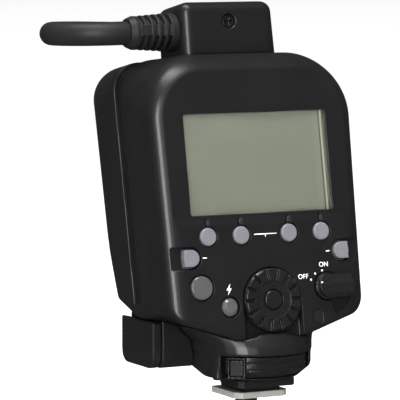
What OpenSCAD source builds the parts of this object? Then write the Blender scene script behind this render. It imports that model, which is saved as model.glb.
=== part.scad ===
// Macro ring flash: a shoe-mounted control unit, a short cord and the ring head that hangs on it.
// Millimetres. Origin: centre of the shoe foot's underside. +Z up, +Y towards the lens, -Y the user.
// The control panel leans back, so the body is drawn in its own panel frame:
// x to the right, y into the body from the panel, z up along the panel.

/* [Stance] */
// Height of the panel's reference point above the foot
panel_z = 30; // [29:0.5:33]
// Distance of that point behind the foot's axis
panel_y = 13.85; // [13:0.05:15]
// Backward lean of the panel in degrees
panel_tilt = 10.5; // [9:0.5:12]

/* [Body] */
// Width at the shoulders
body_w = 70.4; // [68:0.2:74]
// Width at the lower corners
body_low_w = 68.2; // [66:0.2:69]
// Depth from the panel to the front face
body_d = 48; // [47:0.5:52]
// Top of the body above the reference point
body_top = 79.5; // [78:0.5:84]
// Bottom of the body below the reference point
body_drop = 11; // [10:0.5:12]
// Radius of the shoulders
shoulder_r = 18.5; // [16:0.5:22]
// Radius of the shoulders towards the front
front_shoulder_r = 9.5; // [8:0.5:13]
// Radius of the lower corners
low_corner_r = 7; // [6:0.5:8]
// Radius of the lower corners towards the front
front_corner_r = 2.5; // [2:0.25:4]
// Rise of the lower corners above the chin
chin_rise = 5.4; // [5:0.2:8]
// Rise of the lower corners towards the front
front_chin_rise = 5; // [4.5:0.1:6.5]
// Half width of the flat chin
chin_x = 9; // [7:0.5:11]
// Radius of the chin's ends
chin_r = 16; // [12:1:20]
// Depth of the rolled edge between the panel and the sides
panel_edge_r = 4; // [3:0.25:5]
// Width of that rolled edge, seen from behind
panel_edge_w = 6.5; // [4:0.25:7]
// Edge radius along the bottom of the panel
low_edge_r = 2; // [1:0.25:3]
// Height of the crown that rolls from the panel to the top
crown_h = 8.5; // [7:0.5:10]
// Depth of that crown
crown_d = 12; // [10:0.5:14]
// Edge radius around the front face
front_edge_r = 8; // [6:0.5:9]
// Height of the roll from the top to the front face
front_crown_h = 10; // [8:0.5:12]
// Depth at which the front face starts at its lowest point
front_low_d = 38; // [37:0.5:40]
// Height of the sloping lower part of the front face
front_rise = 42; // [38:1:46]
// Wall thickness of the casings
wall = 2.2; // [2:0.1:2.5]
// Depth of the rear casing, up to the groove
rear_d = 21.5; // [20:0.5:23]
// Width of the groove between the casings
groove_w = 5; // [4:0.5:6]
// Depth of the groove
groove_in = 1.2; // [0.8:0.1:1.6]
// Height at which the groove ends
groove_end = 3.6; // [3:0.1:4.2]

/* [Display] */
// Width of the display opening
lcd_w = 49.5; // [46:0.5:51]
// Height of the display opening
lcd_h = 31.35; // [29:0.05:32]
// Centre of the display above the reference point
lcd_z = 44; // [43.5:0.25:45]
// Overlap of the clear window behind the opening's edge
window_lap = 1.4; // [1:0.1:1.6]
// Thickness of the clear window
window_t = 1.2; // [1:0.1:1.4]
// Thickness of the liquid crystal panel
panel_glass_t = 2.1; // [1.5:0.1:2.4]
// Thickness of the light guide
backlight_t = 2.4; // [2:0.1:2.8]
// Wall of the display holder
holder_t = 1.2; // [1:0.1:1.4]

/* [Keys] */
// Radius of the function keys
key_r = 2.75; // [2.5:0.05:3]
// How far the keys stand out of the panel
key_rise = 0.5; // [0.3:0.1:0.8]
// Gap around a key
key_gap = 0.5; // [0.3:0.05:0.6]
// Travel of the keys
key_travel = 0.6; // [0.4:0.1:0.7]
// Distance of the outer function keys from the middle
key_outer_x = 19.8; // [19:0.1:21]
// Distance of the inner function keys from the middle
key_inner_x = 8.35; // [7.5:0.05:9]
// Height of the function keys
key_z = 21.7; // [21:0.1:21.9]
// Distance of the two side keys from the middle
side_key_x = 26.2; // [25.6:0.1:26.6]
// Height of the two side keys
side_key_z = 15.4; // [15:0.1:16]
// Height of the side keys' recesses
side_recess_h = 7; // [6.6:0.1:7.4]
// Depth of the side keys' recesses
side_recess_d = 1.3; // [1:0.1:1.4]
// Radius of the mode key
mode_r = 3.65; // [3.3:0.05:3.9]
// Place of the mode key across the panel
mode_x = -23.4; // [-23.8:0.1:-22.8]
// Height of the mode key
mode_z = 6.2; // [6:0.1:6.6]
// Radius of the test key
test_r = 2.8; // [2.5:0.05:3]
// Place of the test key across the panel
test_x = -14.1; // [-14.6:0.1:-13.8]
// Height of the test key
test_z = -0.2; // [-0.5:0.1:0.5]

/* [Dial and switch] */
// Radius of the dial
dial_r = 9.85; // [9.4:0.05:10]
// Gap between the dial and its pit
dial_gap = 0.3; // [0.25:0.05:0.4]
// Place of the dial across the panel
dial_x = 0.6; // [0:0.1:1.2]
// Height of the dial
dial_z = 1.2; // [0.8:0.1:1.6]
// How far the dial stands out of the panel
dial_rise = 1.3; // [1:0.1:1.6]
// Depth of the dial's pit
pit_d = 2.6; // [2.2:0.1:2.8]
// Number of grip notches on the dial
dial_notches = 14; // [10:1:18]
// Radius of the set key in the dial
set_r = 3.05; // [2.8:0.05:3.2]
// Radius of the dial's hub
hub_r = 5; // [4.6:0.1:5.2]
// Radius of the switch's round end
switch_r = 4.2; // [3.9:0.1:4.4]
// Length of the switch's handle from its axis
switch_l = 8.8; // [8.4:0.1:9]
// Turn of the switch from off to on, in degrees
switch_turn = 52; // [48:1:55]
// Place of the switch across the panel
switch_x = 20.2; // [19.8:0.1:20.6]
// Height of the switch's axis
switch_z = 4.4; // [4:0.1:4.8]
// Depth of the switch's recess
switch_recess_d = 1; // [0.8:0.1:1.4]
// Width of the confirmation lamp
lamp_w = 3; // [2.6:0.1:3.4]
// Place of the confirmation lamp across the panel
lamp_x = 16.2; // [15.8:0.1:16.6]
// Top of the confirmation lamp
lamp_top_z = -2.6; // [-3:0.1:-2.2]
// Height of the confirmation lamp
lamp_h = 4.1; // [3.8:0.1:4.3]

/* [Battery bay] */
// Diameter of a cell
cell_d = 14.2; // [13.8:0.1:14.3]
// Length of a cell
cell_l = 50; // [49:0.5:50.5]
// Height of the bay's floor
bay_z = 28; // [27.6:0.2:28.4]
// Depth at which the bay starts
bay_y = 10.4; // [10.2:0.1:10.6]
// Wall of the battery holder
bay_wall = 1; // [0.8:0.1:1.1]
// Clearance around the cells
bay_gap = 0.1; // [0.05:0.05:0.15]
// Gap around the battery door
door_gap = 0.3; // [0.25:0.05:0.4]
// Radius of the door's knuckle
knuckle_r = 1.25; // [1.1:0.05:1.3]
// Radius of the door's hinge pin
door_pin_r = 0.6; // [0.5:0.05:0.7]
// Radial running clearance of pins and shafts
run_gap = 0.05; // [0.03:0.01:0.08]

/* [Cord housing] */
// Width of the cord housing
hood_w = 33.6; // [32.4:0.2:34]
// Depth at which the cord housing starts
hood_y = 12; // [12:0.5:13]
// Depth of the cord housing
hood_d = 19.5; // [18.5:0.5:20.5]
// Top of the cord housing above the reference point
hood_top = 96.6; // [96:0.2:98]
// Edge radius of the cord housing
hood_r = 3.6; // [2.8:0.1:4]
// Height of the cord's axis above the reference point
gland_z = 87.8; // [87.4:0.1:88.2]
// Depth of the cord's axis behind the panel
gland_y = 19.5; // [19.3:0.1:19.7]
// Length of a strain relief
gland_l = 16.2; // [15.6:0.1:17]
// Radius of a strain relief at its root
gland_root_r = 6.1; // [5.6:0.1:6.3]
// Radius of a strain relief at its tip
gland_tip_r = 5.3; // [5:0.1:5.6]
// Radius of a strain relief's core
gland_core_r = 4.3; // [4.1:0.1:4.6]
// Number of ribs on a strain relief
gland_ribs = 5; // [4:1:7]
// Diameter of the cord
cord_d = 7.4; // [6.5:0.1:7.6]

/* [Foot] */
// Width of the shoe plate
foot_w = 18.6; // [18.4:0.05:18.7]
// Length of the shoe plate
foot_l = 17.5; // [17:0.1:18]
// Thickness of the shoe plate
foot_t = 2; // [1.9:0.05:2.1]
// Cut of the shoe plate's rear corners
foot_cut = 2; // [1.5:0.1:2.5]
// Cut of the shoe plate's front corners
foot_front_cut = 0.5; // [0.3:0.1:1]
// Height of the slot for the shoe's rails
rail_h = 1.6; // [1.5:0.1:1.9]
// Width of the neck between the rails
neck_w = 12.2; // [11.8:0.1:12.4]
// Length of the neck
neck_l = 16; // [15.6:0.1:16.4]
// Width of the weather seal
seal_w = 20; // [19:0.5:21]
// How far the weather seal reaches behind the foot's axis
seal_rear = 12; // [11.5:0.1:12.4]
// Radius of the weather seal's collar
seal_r = 9.4; // [9:0.1:9.8]
// Height of the weather seal
seal_h = 2.5; // [2:0.1:2.8]
// Radius of the foot's column
column_r = 8; // [7.9:0.1:8.2]
// Radius of the round boss
boss_r = 19; // [18.5:0.1:19.5]
// Radius of the boss's lower face
boss_low_r = 14.8; // [14.4:0.1:15.2]
// Height of the boss's chamfer
boss_chamfer = 3.3; // [3:0.1:3.6]
// Top of the boss's straight side
boss_top = 15.5; // [15.4:0.1:15.6]
// Turn of the lock lever, in degrees
lever_turn = 40; // [30:1:42]
// Gap around the lock lever
lever_gap = 0.35; // [0.3:0.05:0.4]
// Travel of the lock pin
pin_travel = 1.6; // [1.2:0.1:1.8]
// Radius of the lock pin
lock_pin_r = 1.2; // [1:0.05:1.3]

/* [Power socket] */
// Outer face of the socket cover, left of the axis
cover_x = 33; // [32.5:0.1:33.5]
// Thickness of the socket cover
cover_t = 3.2; // [2.8:0.1:3.4]
// Rear face of the socket block
block_y = 2; // [1:0.5:3]
// Length of the socket block
block_l = 22.5; // [21:0.5:22.5]
// Underside of the socket block
block_z = 9.4; // [9:0.1:9.8]
// Height of the socket cover
cover_h = 15.8; // [15:0.1:16.2]
// Length of the socket's mouth
socket_l = 13; // [12:0.5:14]
// Height of the socket's mouth
socket_h = 8; // [7.5:0.1:8.5]
// Depth of the socket
socket_d = 6.8; // [6.4:0.1:7]

/* [Ring head] */
// Outer diameter of the ring
ring_od = 112; // [108:1:116]
// Diameter of the lens opening
ring_bore = 68; // [66:0.5:68.5]
// Thickness of the ring
ring_t = 26; // [25:0.5:28]
// Place of the ring's axis across the object
ring_x = 26; // [25:0.5:27]
// Place of the ring's middle along the lens axis
ring_y = 56.7; // [56.4:0.1:57]
// Depth of the ring's axis below the foot
ring_drop = 90; // [89.5:0.1:90.5]
// Wall thickness of the ring's housings
ring_wall = 2.2; // [2:0.1:2.4]
// Half angle of each flash window, in degrees
window_half = 66; // [58:1:68]
// Radius of the flash tubes' glass
tube_r = 2.2; // [1.8:0.1:2.6]
// Travel of the release keys
release_travel = 3; // [2.5:0.1:3.2]
// Travel of the lens latches
latch_travel = 1.5; // [1.3:0.1:1.7]

/* [Hidden] */

$fn = 64;
hull_fn = 32;
thin = 0.01;
far = 200;
black = "#2b2b2e";
grey = "#9a9aa2";
rubber = "#1f1f21";
steel = "#b9b7b0";
board_green = "#2f6b45";

// The body's form. Each slice across its depth is a rounded outline that is drawn in towards
// the panel, the top and the front face.
function arc_in(r, left) = left >= r ? 0 : r - sqrt(r * r - pow(r - left, 2));
function crown_in(h, d, left) = left >= d ? 0 : h * (1 - sqrt(1 - pow(1 - left / d, 2)));
function side_in(y) = crown_in(panel_edge_w, panel_edge_r, y) + arc_in(front_edge_r, body_d - y);
function top_in(y) = crown_in(crown_h, crown_d, y) + crown_in(front_crown_h, front_crown_h, body_d - y);
function chin_z(y) = max(-body_drop + y * tan(panel_tilt) + arc_in(low_edge_r, y),
    (y - front_low_d) * front_rise / (body_d - front_low_d));
blend_d = 26;
rear_slices = [for (k = [0, 0.025, 0.08, 0.17, 0.34, 0.62, 1]) k * crown_d];
front_slices = [for (k = [1, 0.64, 0.304, 0.112, 0.024, 0]) body_d - k * (body_d - front_low_d)];
body_slices = concat(rear_slices, [(crown_d + blend_d) / 2, blend_d], front_slices);
shoulder_steps = 9;
corner_steps = 6;
chin_steps = 3;
min_r = 0.5;

function arc(c, r, a0, a1, steps) = [for (k = [0 : steps])
    let (a = a0 + (a1 - a0) * k / steps) [c.x + r * cos(a), c.y + r * sin(a)]];
// Direction square to the line that touches the lower corner's and the chin's circles
function chin_turn(low, low_r, end, end_r) = let (d = low - end)
    atan2(d.y, d.x) - acos((end_r - low_r) / norm(d));

// How far a slice has gone from the panel's outline to the front casing's squarer one
function front_share(y) = let (k = min(max((y - crown_d) / (blend_d - crown_d), 0), 1)) k * k * (3 - 2 * k);
function blend(rear, front, y) = rear + (front - rear) * front_share(y);

function right_outline(y, inset) = let (
        in = side_in(y) + inset,
        floor_z = chin_z(y) + inset,
        top_r = max(blend(shoulder_r, front_shoulder_r, y) - in, min_r),
        low_r = max(blend(low_corner_r, front_corner_r, y) - in, min_r),
        end_r = max(chin_r - in, min_r),
        top = [body_w / 2 - in - top_r, body_top - top_in(y) - inset - top_r],
        low = [body_low_w / 2 - in - low_r, floor_z + blend(chin_rise, front_chin_rise, y) + low_r],
        end = [chin_x, floor_z + end_r],
        turn = chin_turn(low, low_r, end, end_r))
    concat(arc(end, end_r, -90, turn, chin_steps), arc(low, low_r, turn, 0, corner_steps),
        arc(top, top_r, 0, 90, shoulder_steps));

// Where the body's straight side lies at a depth and a height
function side_x(y, z) = let (
        low_z = chin_z(y) + blend(chin_rise, front_chin_rise, y) + blend(low_corner_r, front_corner_r, y),
        top_z = body_top - top_in(y) - blend(shoulder_r, front_shoulder_r, y))
    (body_low_w + (body_w - body_low_w) * (z - low_z) / (top_z - low_z)) / 2 - side_in(y);

function body_ring(y, inset) = let (
        right = right_outline(y, inset),
        last = len(right) - 1,
        slice_y = inset + y * (body_d - 2 * inset) / body_d)
    concat([for (p = right) [-p.x, slice_y, p.y]],
        [for (k = [last : -1 : 0]) [right[k].x, slice_y, right[k].y]]);

module body_form(inset = 0) {
    rings = [for (y = body_slices) body_ring(y, inset)];
    loft(rings);
}

// A closed solid through rings of equally many points
module loft(rings) {
    count = len(rings[0]);
    last = len(rings) - 1;
    skin = [for (i = [0 : last - 1], k = [0 : count - 1])
        let (a = i * count + k, b = i * count + (k + 1) % count)
            each [[a, a + count, b], [b, a + count, b + count]]];
    start = [for (k = [1 : count - 2]) [0, k, k + 1]];
    end = [for (k = [1 : count - 2]) [last * count, last * count + k + 1, last * count + k]];
    polyhedron([for (r = rings) each r], concat(skin, start, end));
}

// Places in the panel frame
module on_panel() {
    translate([0, -panel_y, panel_z]) rotate([-panel_tilt, 0, 0]) children();
}

module rod(x, z, r, y0, y1) {
    translate([x, y0, z]) rotate([-90, 0, 0]) cylinder(r = r, h = y1 - y0);
}

module slab(y0, y1) {
    translate([0, y1, 0]) rotate([90, 0, 0]) linear_extrude(y1 - y0) children();
}

module block(x0, x1, y0, y1, z0, z1) {
    translate([x0, y0, z0]) cube([x1 - x0, y1 - y0, z1 - z0]);
}

// Depths behind the panel, from the casing's wall to the main board
key_seat = wall + 0.3;
key_flange_t = 0.8;
key_flange = 0.6;
key_stem_t = 0.8;
dome_y = key_seat + key_flange_t + key_stem_t + key_travel + 0.1;
dome_h = 0.8;
board_y = 8.2;
board_t = 1.6;
lcd_lap = window_lap - 0.1;

// The openings and recesses of the panel
key_places = [[-key_outer_x, key_z, key_r], [-key_inner_x, key_z, key_r],
    [key_inner_x, key_z, key_r], [key_outer_x, key_z, key_r],
    [mode_x, mode_z, mode_r], [test_x, test_z, test_r]];
side_key_half = 2.6;
side_key_flat = 2.4;
recess_end_r = side_recess_h / 2;
pit_r = dial_r + dial_gap;
pit_floor_t = 1.6;
switch_shaft_r = 2.5;
switch_gap = 0.3;

module side_key_shape(grow = 0, out = 0) {
    circle(r = side_key_half + grow);
    translate([-side_key_flat - out, -side_key_half - grow])
        square([side_key_flat + out, 2 * (side_key_half + grow)]);
}

module side_recess_shape() {
    circle(r = recess_end_r);
    translate([-far, -recess_end_r]) square([far, side_recess_h]);
}

module lamp_shape(grow = 0) {
    r = lamp_w / 2 + grow;
    translate([lamp_x, lamp_top_z - lamp_w / 2]) circle(r = r);
    translate([lamp_x - r, lamp_top_z - lamp_h - grow]) square([2 * r, lamp_h - lamp_w / 2 + grow]);
}

module fan_shape(r, turn) {
    points = [for (k = [0 : 6]) r * [cos(-k * turn / 6), sin(-k * turn / 6)]];
    translate([switch_x, switch_z]) polygon(concat([[0, 0]], points));
}

handle_half = 3.6;
fan_margin = 22;

module switch_recess_shape(grow = 0) {
    translate([switch_x, switch_z]) circle(r = switch_r + switch_gap + grow);
    translate([switch_x, switch_z]) rotate(fan_margin) translate([-switch_x, -switch_z])
        fan_shape(switch_l + switch_gap + grow, switch_turn + 2 * fan_margin);
}

pillars = [[-25, 65.4], [25, 65.4], [-29.4, 9.6], [29.4, 9.6]];
pillar_r = 1.7;
pit_wall = 1;
flange_gap = 0.3;
holder_gap = 0.1;

module panel_backing() {
    rod(dial_x, dial_z, pit_r + pit_wall, wall - thin, pit_d + pit_floor_t);
    block(dial_x - pit_r - pit_wall, dial_x + pit_r + pit_wall, wall - thin, pit_d + pit_floor_t,
        -body_drop - 1, dial_z);
    slab(wall - thin, switch_recess_d + pit_floor_t) switch_recess_shape(0.8);
    for (p = pillars) rod(p.x, p.y, pillar_r, wall - thin, board_y);
}

module panel_cuts() {
    slab(-1, wall + 1) translate([-lcd_w / 2, lcd_z - lcd_h / 2]) square([lcd_w, lcd_h]);
    slab(wall - window_t, wall + 1)
        translate([-lcd_w / 2 - window_lap, lcd_z - lcd_h / 2 - window_lap])
            square([lcd_w + 2 * window_lap, lcd_h + 2 * window_lap]);
    for (k = key_places) {
        rod(k.x, k.y, k[2] + key_gap, -1, wall + 1);
        rod(k.x, k.y, k[2] + key_flange + flange_gap, wall, board_y);
    }
    for (side = [-1, 1]) translate([side * side_key_x, 0, side_key_z]) mirror([side > 0 ? 1 : 0, 0, 0]) {
        slab(-1, side_recess_d) side_recess_shape();
        slab(-1, wall + 1) side_key_shape(key_gap, key_gap);
        slab(wall, board_y) side_key_shape(key_flange + flange_gap, flange_gap);
    }
    rod(dial_x, dial_z, pit_r, -1, pit_d);
    block(dial_x - pit_r, dial_x + pit_r, -1, pit_d, -far, dial_z);
    rod(dial_x, dial_z, hub_r + run_gap, 0, pit_d + pit_floor_t + 1);
    slab(-1, switch_recess_d) switch_recess_shape();
    rod(switch_x, switch_z, switch_shaft_r + run_gap, 0, switch_recess_d + pit_floor_t + 1);
    slab(-1, wall + 1) lamp_shape(0.1);
    display_plate(wall, board_y, holder_t + holder_gap);
}

// The battery door's opening and hinge
door_y0 = 11.1;
door_y1 = 41.1;
door_z0 = 24.2;
door_z1 = 57.2;
hinge_in = 1.2;
hinge_x = body_low_w / 2 - hinge_in;
door_reach = 4;
lug_l = 2.2;
lug_r = 1.3;
lug_h = 4;
lug_top = 0.5;
knuckle_y0 = door_y0 + lug_l + door_gap;
knuckle_y1 = door_y1 - lug_l - door_gap;

module door_opening() {
    block(hinge_x - door_reach, far, door_y0 - door_gap, door_y1 + door_gap,
        door_z0 + lug_top, door_z1 + door_gap);
    block(hinge_x - door_reach, far, door_y0 + lug_l, door_y1 - lug_l,
        door_z0 - knuckle_r - 2 * door_gap, door_z1);
}

module lug(y0, y1) {
    difference() {
        union() {
            rod(hinge_x, door_z0, lug_r, y0, y1);
            block(hinge_x - lug_r, hinge_x + lug_r / 2, y0, y1, door_z0 - lug_h, door_z0);
        }
        rod(hinge_x, door_z0, door_pin_r + run_gap, y0 - 1, y1 + 1);
    }
}

// The casing's shell where the children are
module casing() {
    difference() {
        intersection() {
            body_form();
            children();
        }
        body_form(wall);
        door_opening();
        rod(hinge_x, door_z0, door_pin_r + run_gap, door_y0 - door_gap / 2, door_y1 + door_gap / 2);
    }
}

// Casing screws: place across, height and depth of the head's seat
screws = [[-20, 64, 45.5], [20, 64, 45.5], [-27.6, 20, 39.5], [27.6, 20, 39.5]];
screw_r = 1.3;
screw_head_r = 2.4;
screw_head_t = 1.4;
screw_boss_r = 3;
screw_gap = 0.05;
front_y = rear_d + groove_w;

module rear_casing() {
    color(black) on_panel() {
        difference() {
            union() {
                casing() {
                    block(-far, far, -1, rear_d, -far, far);
                    block(-far, far, -1, front_y, -far, groove_end);
                }
                intersection() {
                    panel_backing();
                    body_form(wall / 2);
                }
            }
            panel_cuts();
        }
        lug(door_y0 - door_gap, door_y0 + lug_l - door_gap);
    }
}

module front_casing() {
    color(black) on_panel() {
        difference() {
            union() {
                casing() block(-far, far, front_y, far, -far, far);
                intersection() {
                    for (s = screws) rod(s.x, s.y, screw_boss_r, front_y, body_d);
                    body_form(wall / 2);
                }
            }
            for (s = screws) {
                rod(s.x, s.y, screw_r + screw_gap, front_y - 1, body_d + 1);
                rod(s.x, s.y, screw_head_r + screw_gap, s[2], body_d + 1);
            }
        }
        lug(door_y1 - lug_l + door_gap, door_y1 + door_gap);
    }
}

frame_wall = 2;
post_x = 10;
power_board_z = 6;

module centre_frame() {
    color(rubber) on_panel() difference() {
        union() {
            difference() {
                union() {
                    intersection() {
                        body_form(groove_in);
                        block(-far, far, rear_d, front_y, groove_end, far);
                    }
                    intersection() {
                        body_form(wall + screw_gap);
                        block(-far, far, rear_d, front_y, -far, groove_end + thin);
                    }
                }
                body_form(groove_in + frame_wall);
            }
            intersection() {
                union() {
                    for (side = [-1, 1])
                        block(side * post_x - 2, side * post_x + 2, rear_d, front_y,
                            -body_drop, power_board_z);
                    for (s = screws) {
                        rod(s.x, s.y, screw_boss_r, rear_d, front_y);
                        block(min(s.x, sign(s.x) * far), max(s.x, sign(s.x) * far), rear_d, front_y,
                            s.y - 1, s.y + 1);
                    }
                }
                body_form(wall + screw_gap);
            }
        }
        door_opening();
        for (s = screws) rod(s.x, s.y, screw_r + screw_gap, rear_d - 1, front_y + 1);
    }
}

module machine_screw(r, head_r, head_t, length) {
    difference() {
        union() {
            cylinder(r = head_r, h = head_t);
            translate([0, 0, -length]) cylinder(r = r, h = length + thin);
        }
        for (turn = [0, 90]) rotate(turn)
            translate([-head_r * 0.7, -head_r * 0.14, head_t * 0.5])
                cube([head_r * 1.4, head_r * 0.28, head_t]);
    }
}

module casing_screws() {
    color(steel) {
        on_panel() for (s = screws)
            translate([s.x, s[2] + 0.02, s.y]) rotate([-90, 0, 0])
                machine_screw(screw_r, screw_head_r, screw_head_t, s[2] - rear_d - 1);
        at_ring() for (turn = ring_pillar_turns) rotate(turn) translate([ring_mid_r, 0, ring_screw_z])
            rotate([180, 0, 0]) machine_screw(screw_r, screw_head_r, screw_head_t, 6);
    }
}

// Display stack, from the window inwards
glass_y = wall + 0.1;
backlight_y = glass_y + panel_glass_t + 0.1;
holder_y1 = board_y - 0.05;
glass_half_w = lcd_w / 2 + lcd_lap;
glass_half_h = lcd_h / 2 + lcd_lap;

module display_plate(y0, y1, grow = 0) {
    slab(y0, y1) translate([-glass_half_w - grow, lcd_z - glass_half_h - grow])
        square([2 * (glass_half_w + grow), 2 * (glass_half_h + grow)]);
}

module lcd_window() {
    color([0.8, 0.85, 0.85, 0.35]) on_panel() display_plate(wall - window_t, wall);
}

module lcd_panel() {
    color("#868a79") on_panel() display_plate(glass_y, glass_y + panel_glass_t);
}

module lcd_backlight() {
    color("#d8dccb") on_panel() display_plate(backlight_y, backlight_y + backlight_t);
}

module lcd_holder() {
    color("#e2e2dc") on_panel() difference() {
        display_plate(wall, holder_y1, holder_t);
        display_plate(wall - 1, backlight_y + backlight_t + 0.1, 0.1);
        translate([0, 0, lcd_z]) block(-15, 15, 0, far, -8, 8);
    }
}

board_half_w = 29;
board_top = 68;
board_low = 2.6;
tongue_x0 = -18;
tongue_x1 = 13;
tongue_z = -4;

module board_shape() {
    translate([-board_half_w, board_low]) square([2 * board_half_w, board_top - board_low]);
    translate([tongue_x0, tongue_z]) square([tongue_x1 - tongue_x0, board_low - tongue_z + 1]);
}

module main_board() {
    color(board_green) on_panel() slab(board_y, board_y + board_t) board_shape();
}

mat_gap = 0.05;
mat_half_w = board_half_w - 0.5;
mat_low = 8.6;
mat_over = 3;
mat_side = 1.4;
encoder_r = 7.5;
encoder_y = 5;

module key_mat() {
    color(grey) on_panel() {
        difference() {
            slab(dome_y + dome_h, board_y - mat_gap) {
                translate([-mat_half_w, mat_low]) square([2 * mat_half_w, key_z + mat_over - mat_low]);
                translate([mode_x - mat_side, mode_z - mat_over]) square([tongue_x1 - mode_x + mat_side, 2 * mat_over]);
                translate([tongue_x0, tongue_z]) square([tongue_x1 - tongue_x0, mat_low - tongue_z]);
            }
            rod(dial_x, dial_z, encoder_r + 0.4, 0, board_y + 1);
            rod(switch_x, switch_z, 5.6, 0, board_y + 1);
            for (p = pillars) rod(p.x, p.y, pillar_r + flange_gap, 0, board_y + 1);
        }
        for (k = key_places) rod(k.x, k.y, 2, dome_y, dome_y + dome_h + thin);
        for (side = [-1, 1]) rod(side * side_key_x, side_key_z, 2, dome_y, dome_y + dome_h + thin);
        rod(dial_x, dial_z, 2.2, set_end_y + key_travel + 0.1, board_y - mat_gap);
    }
}

module panel_encoders() {
    color("#3c3c40") on_panel() {
        difference() {
            rod(dial_x, dial_z, encoder_r, encoder_y, board_y);
            rod(dial_x, dial_z, hub_r + 0.3, encoder_y - 1, board_y + 1);
        }
        rod(switch_x, switch_z, 5, switch_end_y + 0.2, board_y);
    }
}

module confirm_lamp() {
    color("#3d4038") on_panel() {
        slab(0.25, wall + 0.6) lamp_shape();
        slab(wall, board_y) translate([lamp_x - 1, lamp_top_z - 3]) square([2, 2]);
    }
}

// Keys. Each has a cap, a flange that holds it behind the wall, and a stem over its dome.
module round_key(x, z, r, crown = 0.35) {
    on_panel() {
        translate([x, -key_rise, z]) rotate([-90, 0, 0])
            rotate_extrude() polygon([[0, 0], [r - crown, 0], [r, crown], [r, key_rise + key_seat],
                [0, key_rise + key_seat]]);
        rod(x, z, r + key_flange, key_seat, key_seat + key_flange_t);
        rod(x, z, r * 0.6, key_seat + key_flange_t - thin, key_seat + key_flange_t + key_stem_t);
    }
}

module side_key(side) {
    on_panel() translate([side * side_key_x, 0, side_key_z]) mirror([side > 0 ? 1 : 0, 0, 0]) {
        slab(-key_rise, key_seat + thin) side_key_shape();
        slab(key_seat, key_seat + key_flange_t) side_key_shape(key_flange, 0);
        rod(0, 0, 1.6, key_seat + key_flange_t - thin, key_seat + key_flange_t + key_stem_t);
    }
}

module function_button_1() { color(grey) round_key(-key_outer_x, key_z, key_r); }
module function_button_2() { color(grey) round_key(-key_inner_x, key_z, key_r); }
module function_button_3() { color(grey) round_key(key_inner_x, key_z, key_r); }
module function_button_4() { color(grey) round_key(key_outer_x, key_z, key_r); }
module lamp_button() { color(grey) side_key(-1); }
module ratio_button() { color(grey) side_key(1); }
module mode_button() { color(grey) round_key(mode_x, mode_z, mode_r); }
module test_button() { color("#77787a") round_key(test_x, test_z, test_r, 0.9); }

// Dial with a hollow hub, and the set key inside it
dial_floor_gap = 0.3;
set_gap = 0.25;
set_end_y = 5.6;
notch_w = 0.9;
notch_d = 0.9;
notch_in = 6.2;

module select_dial() {
    color(black) on_panel() translate([dial_x, 0, dial_z]) difference() {
        union() {
            translate([0, -dial_rise, 0]) rotate([-90, 0, 0]) rotate_extrude()
                polygon([[0, 0.5], [notch_in - 0.6, 0.3], [notch_in, 0], [dial_r - 0.6, 0], [dial_r, 0.6],
                    [dial_r, dial_rise + pit_d - dial_floor_gap],
                    [0, dial_rise + pit_d - dial_floor_gap]]);
            rod(0, 0, hub_r, pit_d - dial_floor_gap - thin, encoder_y + 1.4);
        }
        rod(0, 0, set_r + set_gap, -5, encoder_y + 5);
        for (k = [0 : dial_notches - 1]) rotate([0, k * 360 / dial_notches, 0])
            block(notch_in, dial_r + 1, -dial_rise - 1, -dial_rise + notch_d, -notch_w / 2, notch_w / 2);
    }
}

module set_button() {
    color(black) on_panel() translate([dial_x, -dial_rise + 0.15, dial_z]) rotate([-90, 0, 0])
        rotate_extrude() polygon([[0, 0], [set_r - 0.4, 0], [set_r, 0.4],
            [set_r, set_end_y + dial_rise - 0.15], [0, set_end_y + dial_rise - 0.15]]);
}

switch_end_y = 5;
handle_rise = 2.6;
handle_low = 0.6;

module power_switch() {
    color(black) on_panel() translate([switch_x, 0, switch_z]) {
        rod(0, 0, switch_r, -handle_low, switch_recess_d - switch_gap);
        rod(0, 0, switch_shaft_r, switch_recess_d - switch_gap - thin, switch_end_y);
        intersection() {
            slab(-handle_rise, -switch_gap) {
                translate([0, -handle_half]) square([switch_l, 2 * handle_half]);
                circle(r = handle_half);
            }
            rod(0, 0, switch_l, -far, far);
        }
    }
}

// Battery bay
cell_pitch = cell_d + bay_gap;
bay_in = 2 * cell_pitch + bay_gap;
bay_out = bay_in + 2 * bay_wall;
cell_x0 = -24.5;
bay_x0 = cell_x0 - 2.5;
bay_x1 = 30.6;
contact_t = 0.5;
cell_rows = [for (i = [0, 1], j = [0, 1])
    [bay_y + bay_wall + bay_gap + cell_d / 2 + i * cell_pitch,
     bay_z + bay_wall + bay_gap + cell_d / 2 + j * cell_pitch]];

module battery_holder() {
    color("#202022") on_panel() difference() {
        intersection() {
            block(bay_x0, bay_x1, bay_y, bay_y + bay_out, bay_z, bay_z + bay_out);
            body_form(wall + 0.2);
        }
        block(bay_x0 + bay_wall, far, bay_y + bay_wall, bay_y + bay_wall + bay_in,
            bay_z + bay_wall, bay_z + bay_wall + bay_in);
    }
}

module battery_cells() {
    color("#b5763a") on_panel() for (c = cell_rows)
        translate([cell_x0, c.x, c.y]) rotate([0, 90, 0]) {
            cylinder(d = cell_d, h = cell_l - 1.5);
            cylinder(d = cell_d * 0.37, h = cell_l);
        }
}

module battery_contacts() {
    color(steel) on_panel() for (c = cell_rows) {
        block(bay_x0 + bay_wall, bay_x0 + bay_wall + contact_t, c.x - 4.5, c.x + 4.5, c.y - 4.5, c.y + 4.5);
        translate([bay_x0 + bay_wall + contact_t - thin, c.x, c.y]) rotate([0, 90, 0])
            cylinder(r = 2.5, h = cell_x0 - bay_x0 - bay_wall - contact_t);
    }
}

door_t = 2;
door_block_x = 27.4;
door_block_half = 2.5;

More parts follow.
